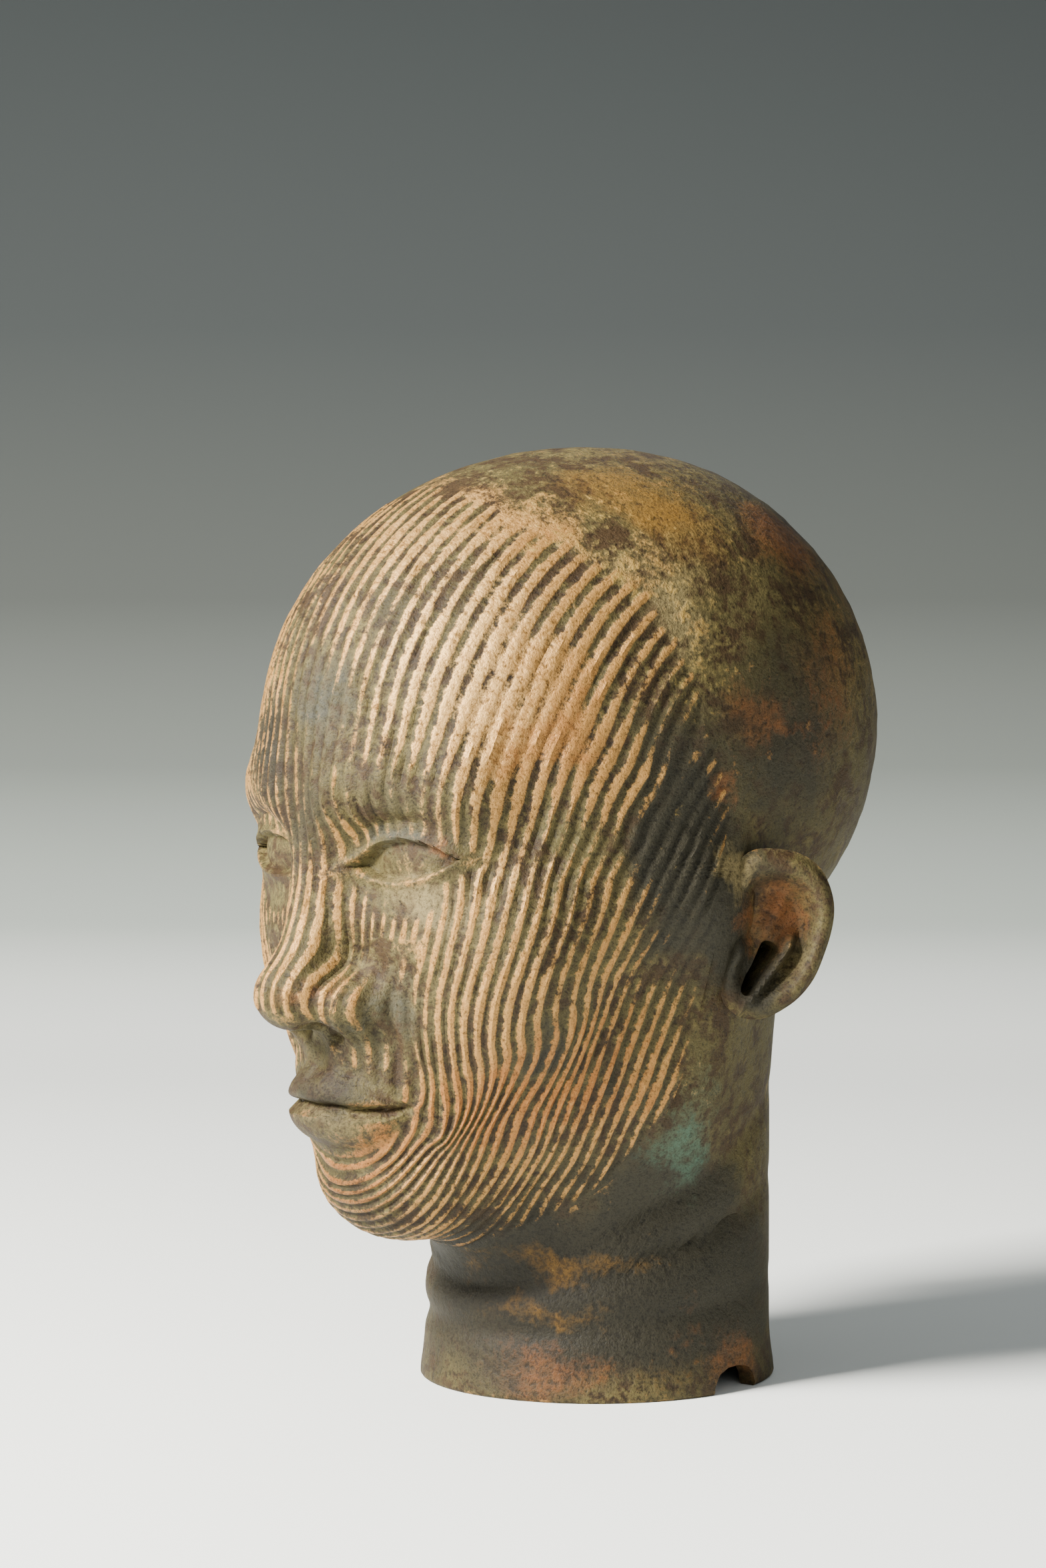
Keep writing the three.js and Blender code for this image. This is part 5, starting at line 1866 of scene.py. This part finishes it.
@dataclass(frozen=True)
class Patina:
    """Colours of the bare metal and of the crusts, and where each lies, with patches of painted shade.

    Each noise has a size in mm, a detail and a roughness. A step says where a share starts and is full.
    """

    tan: Row = tone(158, 118, 64)
    peach: Row = tone(190, 152, 94)
    copper: Row = tone(138, 90, 44)
    olive: Row = tone(78, 70, 40)
    moss: Row = tone(98, 87, 50)
    brown: Row = tone(56, 42, 24)
    slate: Row = tone(45, 42, 31)
    blue_grey: Row = tone(62, 63, 56)
    ochre: Row = tone(112, 82, 32)
    rust: Row = tone(106, 66, 34)
    turquoise: Row = tone(66, 90, 74)
    dust: Row = tone(112, 99, 66)
    # Dark brown that is multiplied in as sooty dirt in pores and grooves, and as painted shade in the shade
    # patches.
    soot_and_shade_colour: Row = tone(88, 80, 60)
    fleck: Row = tone(160, 134, 70)
    metallic: float = 0.35
    specular: float = 0.2
    bump_depth: float = 0.001
    bump_strength: float = 0.9
    warp: float = 34.0
    spot_edge: float = 1.5
    spot_full: float = 0.2
    cloud_size: Triple = (13, 5, 0.65)
    warp_size: Triple = (26, 4, 0.6)
    big_size: Triple = (34, 4, 0.6)
    drift_size: Triple = (19, 2, 0.5)
    middle_size: Triple = (4.5, 5, 0.65)
    small_size: Triple = (1.7, 3, 0.6)
    fine_size: Triple = (0.7, 2, 0.6)
    crest_step: Pair = (0.85, 0.15)
    groove_step: Pair = (0.4, 0.85)
    bare_step: Pair = (4.15, 4.95)
    crust_step: Pair = (1.3, 2.1)
    fleck_most: float = 0.7
    soot_and_shade_most: float = 0.75
    light_at: Stains = stains(
        (40, -75, 228, 34, 30, 40, 0.9), (-56, -62, 236, 26, 30, 26, 0.9), (14, -104, 150, 10, 14, 20, 0.5),
        (50, -64, 168, 22, 20, 10, 0.7), (20, -60, 272, 34, 30, 18, 0.5), (40, -76, 140, 16, 16, 14, 0.3),
    )
    orange_at: Stains = stains(
        (46, -56, 96, 34, 34, 20, 0.9), (8, -92, 78, 28, 24, 24, 1.0), (60, -30, 110, 18, 22, 24, 0.6),
        (64, -58, 205, 20, 24, 20, 0.5), (60, 10, 168, 10, 14, 24, 0.5),
    )
    bare_at: Stains = stains(
        (50, -60, 235, 48, 48, 44, 0.95), (62, -56, 208, 32, 32, 28, 1.05), (52, -66, 128, 34, 38, 40, 0.7),
        (44, -60, 92, 38, 38, 30, 0.65), (62, -16, 100, 20, 24, 26, 0.5), (8, -104, 150, 14, 16, 22, 0.6),
        (10, -84, 72, 24, 22, 18, 0.6), (-8, -95, 205, 22, 22, 20, 0.6), (20, -60, 272, 34, 34, 24, 0.55),
        (-50, -60, 232, 40, 44, 38, 0.6), (-56, -60, 120, 28, 36, 36, 0.6), (-20, -70, 80, 24, 30, 22, 0.5),
    )
    crust_at: Stains = stains(
        (10, -100, 214, 12, 14, 28, 1.0), (24, -84, 243, 10, 14, 16, 0.9), (34, -94, 189, 26, 12, 8, 0.75),
        (34, -74, 255, 8, 12, 14, 0.6), (82, -18, 192, 22, 18, 32, 0.7), (-18, -94, 204, 16, 16, 20, 0.7),
        (8, -96, 66, 28, 22, 18, 0.75), (6, -104, 97, 20, 18, 12, 0.6), (70, -46, 178, 26, 20, 10, 0.7),
        (82, -14, 152, 22, 20, 34, 0.7), (4, -100, 182, 14, 16, 14, 0.5), (30, -92, 118, 10, 12, 20, 0.65),
        (62, -50, 140, 8, 10, 12, 0.6), (84, 8, 150, 12, 14, 24, 0.4), (62, -29, 106, 6, 7, 14, 0.5),
        (46, -48, 85, 8, 8, 8, 0.5), (58, -54, 112, 6, 8, 14, 1.2), (27, -84, 112, 14, 16, 18, 0.85),
        (60, -3, 70, 18, 22, 22, 0.5), (70, 30, 130, 30, 30, 60, 0.5), (0, 60, 200, 110, 62, 110, 0.5),
        (0, 14, 24, 90, 90, 42, 0.55),
    )
    # Slate crust; the broad patches over the neck are partly the neck's dark patina and partly painted
    # shade under the jaw.
    slate_and_shade_at: Stains = stains(
        (24, -84, 243, 10, 14, 16, 0.5), (80, -20, 188, 20, 22, 34, 0.8), (82, -12, 155, 20, 24, 34, 0.8),
        (8, -104, 100, 24, 18, 16, 0.8), (84, 14, 134, 12, 18, 18, 0.6), (-20, -94, 204, 16, 16, 20, 0.9),
        (58, -54, 112, 6, 8, 14, 0.8), (46, -84, 176, 26, 14, 9, 0.5), (84, 10, 150, 12, 16, 26, 0.6),
        (4, -100, 182, 14, 16, 14, 0.6), (30, -92, 120, 10, 12, 16, 0.5), (80, 28, 208, 22, 32, 38, 0.85),
        (62, 0, 70, 24, 34, 40, 0.7), (0, 90, 180, 90, 60, 90, 0.6), (40, 20, 30, 60, 60, 34, 0.6),
        (-80, 0, 170, 24, 50, 60, 0.7), (12, -100, 212, 10, 12, 20, 0.4), (20, -10, 52, 70, 60, 22, 0.75),
        (10, -20, 24, 80, 70, 28, 0.75), (34, -94, 190, 26, 12, 7, 0.5), (62, -29, 106, 6, 7, 14, 0.6),
        (46, -48, 85, 8, 8, 8, 0.5),
    )
    blue_at: Stains = stains(
        (12, -100, 220, 12, 12, 26, 0.55), (30, -88, 128, 12, 12, 20, 0.5), (33, -80, 178, 14, 18, 6, 0.6),
        (10, -98, 112, 20, 16, 8, 0.5), (-40, -80, 200, 24, 24, 24, 0.4),
    )
    ochre_at: Stains = stains(
        (44, -10, 284, 24, 28, 14, 0.6), (60, 2, 270, 16, 16, 14, 0.55), (66, -6, 250, 16, 20, 14, 0.35),
        (34, -26, 41, 40, 26, 6, 0.6), (28, -30, 26, 34, 20, 5, 0.55), (-40, 20, 282, 30, 34, 16, 0.5),
        (50, 0, 8, 40, 50, 10, 0.35),
    )
    rust_at: Stains = stains(
        (57, 42, 270, 20, 24, 16, 0.65), (80, 48, 228, 16, 26, 38, 0.4), (82, 21, 154, 12, 13, 16, 0.8),
        (54, 29, 8, 14, 16, 12, 0.6), (40, -30, 10, 34, 24, 12, 0.55), (66, -4, 22, 12, 24, 20, 0.4),
        (84, 10, 214, 10, 16, 12, 0.6), (20, 10, 290, 30, 24, 10, 0.35), (46, -78, 176, 8, 12, 5, 0.8),
        (12, -102, 132, 14, 16, 6, 0.6), (81, 2, 191, 7, 8, 8, 0.6), (40, 80, 240, 50, 40, 50, 0.35),
        (-60, 50, 230, 40, 40, 50, 0.4),
    )
    turquoise_at: Stains = stains(
        (62, 0, 92, 16, 18, 22, 0.4), (58, 6, 76, 12, 14, 16, 0.35), (-60, 10, 96, 18, 22, 26, 0.5),
        (-20, 60, 60, 30, 20, 22, 0.3),
    )
    pale_at: Stains = stains(
        (84, 2, 164, 8, 8, 9, 0.7), (88, 28, 134, 8, 8, 12, 0.5), (60, -12, 256, 26, 28, 20, 0.5),
        (80, -14, 236, 14, 16, 20, 0.6), (40, -80, 160, 24, 20, 9, 0.75), (8, -98, 90, 24, 18, 5, 0.5),
        (44, -84, 150, 14, 14, 10, 0.4), (78, 4, 170, 10, 14, 9, 0.5),
    )
    fleck_at: Stains = stains(
        (64, -30, 262, 34, 34, 20, 0.8), (76, -8, 228, 18, 16, 24, 0.7), (20, -40, 285, 40, 50, 16, 0.5),
        (0, 40, 260, 80, 60, 50, 0.4), (44, -50, 40, 40, 30, 16, 0.4),
    )
    # Painted shade: patches darkened under the jaw and chin, about the lips, at the ear and beside the nose
    # bridge.
    shade_at: Stains = stains(
        (20, -30, 30, 60, 52, 36, 0.5), (4, -98, 102, 22, 18, 16, 0.35), (6, -94, 66, 26, 22, 14, 0.4),
        (86, 20, 140, 12, 20, 26, 0.3), (-10, -98, 204, 22, 16, 26, 0.3),
    )

    def patch(self, nodes: Nodes, place: Value, spots: Stains) -> Value:
        """Adds up soft patches.

        Args:
            nodes: The material's nodes.
            place: Where it is read.
            spots: The stains.

        Returns:
            Their sum.
        """
        out: Value = 0.0
        for spot in spots:
            gap = nodes.vector("SUBTRACT", place, spot.centre).outputs[0]
            gap = nodes.vector("DIVIDE", gap, spot.half).outputs[0]
            length = nodes.vector("LENGTH", gap, (0, 0, 0)).outputs["Value"]
            out = nodes.count("ADD", out, nodes.step(length, self.spot_edge, self.spot_full, spot.strength))
        return out

    def clouds(self, nodes: Nodes, object_place: Value) -> Clouds:
        """Adds the noises, the warped place in mm and the ridges' crests and grooves.

        Args:
            nodes: The material's nodes.
            object_place: Object coordinates in metres.

        Returns:
            The values.
        """
        ridge_count, ridged, worn = (nodes.attribute(key) for key in ("ridge_count", "ridged", "worn"))
        place = nodes.grown(object_place, 1 / MM)
        shift = nodes.noise(place, *self.warp_size).outputs["Color"]
        shift = nodes.vector("SUBTRACT", shift, (0.5, 0.5, 0.5)).outputs[0]
        warped = nodes.vector("ADD", place, nodes.grown(shift, self.warp)).outputs[0]
        cloud = nodes.noise(warped, *self.cloud_size).outputs["Fac"]
        big, drift, middle, small, fine = (nodes.noise(place, *size).outputs["Fac"] for size in (
            self.big_size, self.drift_size, self.middle_size, self.small_size, self.fine_size))
        wavering = nodes.total((ridge_count, 1.0), (middle, 0.3), (small, 0.15), (1.0, 0.275))
        between = nodes.count("SUBTRACT", nodes.count("FRACT", wavering), 0.5)
        between = nodes.count("MULTIPLY", nodes.count("ABSOLUTE", between), 2.0)
        crest = nodes.count("MULTIPLY", nodes.step(between, *self.crest_step), ridged)
        groove = nodes.count("MULTIPLY", nodes.step(between, *self.groove_step), ridged)
        return Clouds(warped, big, cloud, drift, middle, small, fine, ridged, crest, groove, worn)

    def bare(self, nodes: Nodes, on: Clouds) -> Value:
        """Gives the share of bare metal, most of it on the ridges' crests.

        Args:
            nodes: The material's nodes.
            on: The values to mix from.

        Returns:
            The share.
        """
        out = nodes.total((self.patch(nodes, on.place, self.bare_at), 1.0),
                          (self.patch(nodes, on.place, self.crust_at), -1.0),
                          (on.cloud, 2.4), (on.drift, 2.0), (on.middle, 1.6), (on.small, 1.0),
                          (on.fine, 0.6), (on.crest, 1.6), (on.ridged, -0.75), (on.worn, 0.8))
        return nodes.step(out, *self.bare_step)

    def crust(self, nodes: Nodes, on: Clouds) -> Value:
        """Mixes the crusts, each colour in broken patches that are sparser towards their edges; the slate
        over the neck is partly painted shade under the jaw.

        Args:
            nodes: The material's nodes.
            on: The values to mix from.

        Returns:
            The colour.
        """
        share = nodes.step(nodes.total((on.cloud, 0.6), (on.middle, 0.4)), 0.42, 0.56)
        out = nodes.blend(share, self.brown, self.olive)
        lichen = nodes.total((on.big, 0.6), (on.middle, 0.6), (on.small, 0.4))
        out = nodes.blend(nodes.step(lichen, 0.8, 1.0), out, self.moss)
        mottle = nodes.total((on.cloud, 0.4), (on.middle, 0.35), (on.small, 0.25))
        # The slate over the neck is partly painted shade under the jaw.
        for spots, colour in ((self.slate_and_shade_at, self.slate), (self.blue_at, self.blue_grey),
                              (self.ochre_at, self.ochre), (self.rust_at, self.rust),
                              (self.turquoise_at, self.turquoise), (self.pale_at, self.dust)):
            share = nodes.total((self.patch(nodes, on.place, spots), 1.0), (mottle, 2.2))
            out = nodes.blend(nodes.step(share, *self.crust_step), out, colour)
        return out

    def metal(self, nodes: Nodes, on: Clouds) -> Value:
        """Mixes the colours of the bare metal.

        Args:
            nodes: The material's nodes.
            on: The values to mix from.

        Returns:
            The colour.
        """
        orange = nodes.total((self.patch(nodes, on.place, self.orange_at), 0.35),
                             (on.big, 0.5), (on.cloud, 0.6), (on.small, 0.3))
        out = nodes.blend(nodes.step(orange, 0.7, 1.05), self.tan, self.copper)
        light = nodes.total((self.patch(nodes, on.place, self.light_at), 0.45),
                            (on.small, 0.8), (on.middle, 0.4))
        return nodes.blend(nodes.step(light, 0.62, 1.15), out, self.peach)

    def flecked(self, nodes: Nodes, on: Clouds, colour: Value) -> Value:
        """Adds pale flecks to a colour, then darkens it with sooty dirt in its pores and in the grooves,
        and with painted shade under the jaw and chin, about the lips, at the ear and beside the nose
        bridge.

        Args:
            nodes: The material's nodes.
            on: The values to mix from.
            colour: The colour so far.

        Returns:
            The new colour.
        """
        near = nodes.total((self.patch(nodes, on.place, self.fleck_at), 0.35),
                           (on.cloud, 0.6), (on.middle, 0.9), (on.small, 0.7))
        share = nodes.count("MULTIPLY", nodes.step(near, 1.36, 1.6), self.fleck_most)
        colour = nodes.blend(share, colour, self.fleck)
        # Sooty dirt in the pores and grooves, plus the painted shade patches.
        soot_and_shade_share = nodes.total((nodes.step(on.fine, 0.5, 0.3), 0.5), (nodes.step(on.small, 0.5, 0.3), 0.45),
                            (on.groove, 0.3), (self.patch(nodes, on.place, self.shade_at), 1.0))
        return nodes.blend(nodes.count("MINIMUM", soot_and_shade_share, self.soot_and_shade_most), colour, self.soot_and_shade_colour, "MULTIPLY")

    def build(self, name: str) -> bpy.types.Material:
        """Makes the material.

        Args:
            name: Its name.

        Returns:
            The material.
        """
        material = bpy.data.materials.new(name)
        material.use_nodes = True
        nodes = Nodes(material.node_tree)
        shader = material.node_tree.nodes["Principled BSDF"]
        on = self.clouds(nodes, nodes.add("ShaderNodeTexCoord", {}).outputs["Object"])
        bare = self.bare(nodes, on)
        colour = nodes.blend(bare, self.crust(nodes, on), self.metal(nodes, on))
        nodes.feed(shader.inputs["Base Color"], self.flecked(nodes, on, colour))
        nodes.feed(shader.inputs["Roughness"], nodes.total((bare, -0.15), (on.small, 0.2), (1.0, 0.55)))
        nodes.feed(shader.inputs["Metallic"], nodes.count("MULTIPLY", bare, self.metallic))
        shader.inputs["Specular IOR Level"].default_value = self.specular
        height = nodes.total((on.middle, 0.6), (on.small, 0.4), (on.fine, 0.2), (bare, 0.08))
        bump = {"Distance": self.bump_depth, "Strength": self.bump_strength, "Height": height}
        nodes.feed(shader.inputs["Normal"], nodes.add("ShaderNodeBump", bump).outputs["Normal"])
        return material


# Studio and camera

VIEW_AZIMUTH = math.radians(50)


@dataclass(frozen=True)
class Lamp:
    """Soft area lamp aimed at the head."""

    name: str
    place: Triple
    size: Pair
    power: float
    colour: Triple = (1.0, 0.96, 0.9)

    def build(self, target: Vector) -> None:
        """Adds the lamp.

        Args:
            target: The place it is aimed at.
        """
        data = bpy.data.lights.new(self.name, "AREA")
        data.shape = "RECTANGLE"
        data.size, data.size_y = self.size
        data.energy = self.power
        data.color = self.colour
        lamp = bpy.data.objects.new(self.name, data)
        lamp.location = self.place
        lamp.rotation_euler = (target - Vector(self.place)).to_track_quat("-Z", "Y").to_euler()
        bpy.context.scene.collection.objects.link(lamp)


@dataclass(frozen=True)
class View:
    """Camera placed as in the photograph."""

    azimuth: float = VIEW_AZIMUTH
    away: float = 1.2
    height: float = 0.228
    lens: float = 85.0
    sensor: float = 36.0
    aside: float = math.radians(1.156)
    down: float = math.radians(1.77)
    centre_y: float = 0.0182

    def build(self) -> None:
        """Adds the camera and makes it the scene's own."""
        data = bpy.data.cameras.new("camera")
        data.lens = self.lens
        data.sensor_width = self.sensor
        camera = bpy.data.objects.new("camera", data)
        s, c = math.sin(self.azimuth), math.cos(self.azimuth)
        camera.location = (self.away * s, self.centre_y - self.away * c, self.height)
        forward, right = Vector((-s, c, 0)), Vector((c, s, 0))
        aim = forward * math.cos(self.aside) - right * math.sin(self.aside)
        aim.z = -math.tan(self.down)
        camera.rotation_euler = aim.to_track_quat("-Z", "Y").to_euler()
        bpy.context.scene.collection.objects.link(camera)
        bpy.context.scene.camera = camera


@dataclass(frozen=True)
class Studio:
    """Pale floor that sweeps up into a backdrop painted darker grey the higher it rises, as painted falloff
    of the light, with soft lamps.
    """

    lamps: tuple[Lamp, ...] = (
        Lamp("key", (-0.16, -1.55, 1.15), (0.55, 0.55), 185.0),
        Lamp("fill", (1.9, -0.9, 0.9), (1.4, 1.4), 8.0, (0.95, 0.98, 1.0)),
        Lamp("back", (-1.1, 1.3, 1.1), (0.9, 0.9), 6.0, (0.95, 0.98, 1.0)),
    )
    world: float = 0.32
    world_colour: Row = (0.85, 0.9, 0.92, 1)
    aim: Triple = (0, 0, 0.15)
    azimuth: float = VIEW_AZIMUTH
    front: float = 2.0
    half_wide: float = 4.0
    reach: float = 0.95
    bend: float = 0.75
    high: float = 2.2
    roughness: float = 0.85
    # Painted falloff of the light: the colour darkens with height, from the pale floor to dark grey at the
    # top.
    painted_falloff_tones: tuple[tuple[float, tuple], ...] = (
        (0.0, tone(246, 250, 246)), (0.06, tone(168, 176, 170)), (0.16, tone(114, 120, 115)),
        (0.28, tone(80, 84, 81)), (0.49, tone(57, 62, 62)), (0.8, tone(38, 44, 45)),
    )

    def sweep(self) -> Piece:
        """Makes the floor and backdrop as one curved sheet."""
        only_none()
        bpy.ops.mesh.primitive_grid_add(x_subdivisions=40, y_subdivisions=60, size=2)
        sheet = bpy.context.object
        sheet.name = "floor"
        forward = np.array([-math.sin(self.azimuth), math.cos(self.azimuth), 0.0])
        right = np.array([math.cos(self.azimuth), math.sin(self.azimuth), 0.0])
        for vertex in sheet.data.vertices:
            across, along = vertex.co.x * self.half_wide, (vertex.co.y + 1) / 2
            run = -self.front + along * (self.reach + self.front + self.bend * math.pi / 2 + self.high)
            turn = min(max((run - self.reach) / self.bend, 0), math.pi / 2)
            out = min(run, self.reach) + self.bend * math.sin(turn)
            straight = max(run - self.reach - self.bend * math.pi / 2, 0)
            up = self.bend * (1 - math.cos(turn)) + straight
            vertex.co = Vector(right * across + forward * out) + Vector((0, 0, up))
        only(sheet)
        bpy.ops.object.shade_smooth()
        return sheet

    def paint(self) -> bpy.types.Material:
        """Makes the sheet's finish, pale on the floor and painted darker grey higher up, as painted falloff
        of the light.
        """
        material = bpy.data.materials.new("floor")
        material.use_nodes = True
        nodes = Nodes(material.node_tree)
        shader = material.node_tree.nodes["Principled BSDF"]
        place = nodes.add("ShaderNodeTexCoord", {}).outputs["Object"]
        height = nodes.vector("DOT_PRODUCT", place, (0, 0, 1)).outputs["Value"]
        # Painted falloff of the light, read from the height.
        ramp = nodes.add("ShaderNodeValToRGB", {"Fac": height})
        for _ in self.painted_falloff_tones[2:]:
            ramp.color_ramp.elements.new(0.5)
        for element, (place_up, colour) in zip(ramp.color_ramp.elements, self.painted_falloff_tones):
            element.position = place_up
            element.color = colour
        nodes.feed(shader.inputs["Base Color"], ramp.outputs["Color"])
        shader.inputs["Roughness"].default_value = self.roughness
        return material

    def build(self) -> None:
        """Adds sheet, lamps and world."""
        for lamp in self.lamps:
            lamp.build(Vector(self.aim))
        world = bpy.data.worlds.new("studio")
        world.use_nodes = True
        light = world.node_tree.nodes["Background"].inputs
        light["Color"].default_value = self.world_colour
        light["Strength"].default_value = self.world
        bpy.context.scene.world = world
        sheet = self.sweep()
        sheet.data.materials.append(self.paint())


def main() -> None:
    """Builds the head, its material, the studio and the camera."""
    logging.basicConfig(level=logging.INFO, format="%(name)s: %(message)s")
    head = Head().build()
    head.data.materials.clear()
    head.data.materials.append(Patina().build("bronze"))
    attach(head, "root")
    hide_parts("bronze_head")
    Studio().build()
    View().build()


if __name__ == "__main__":
    main()
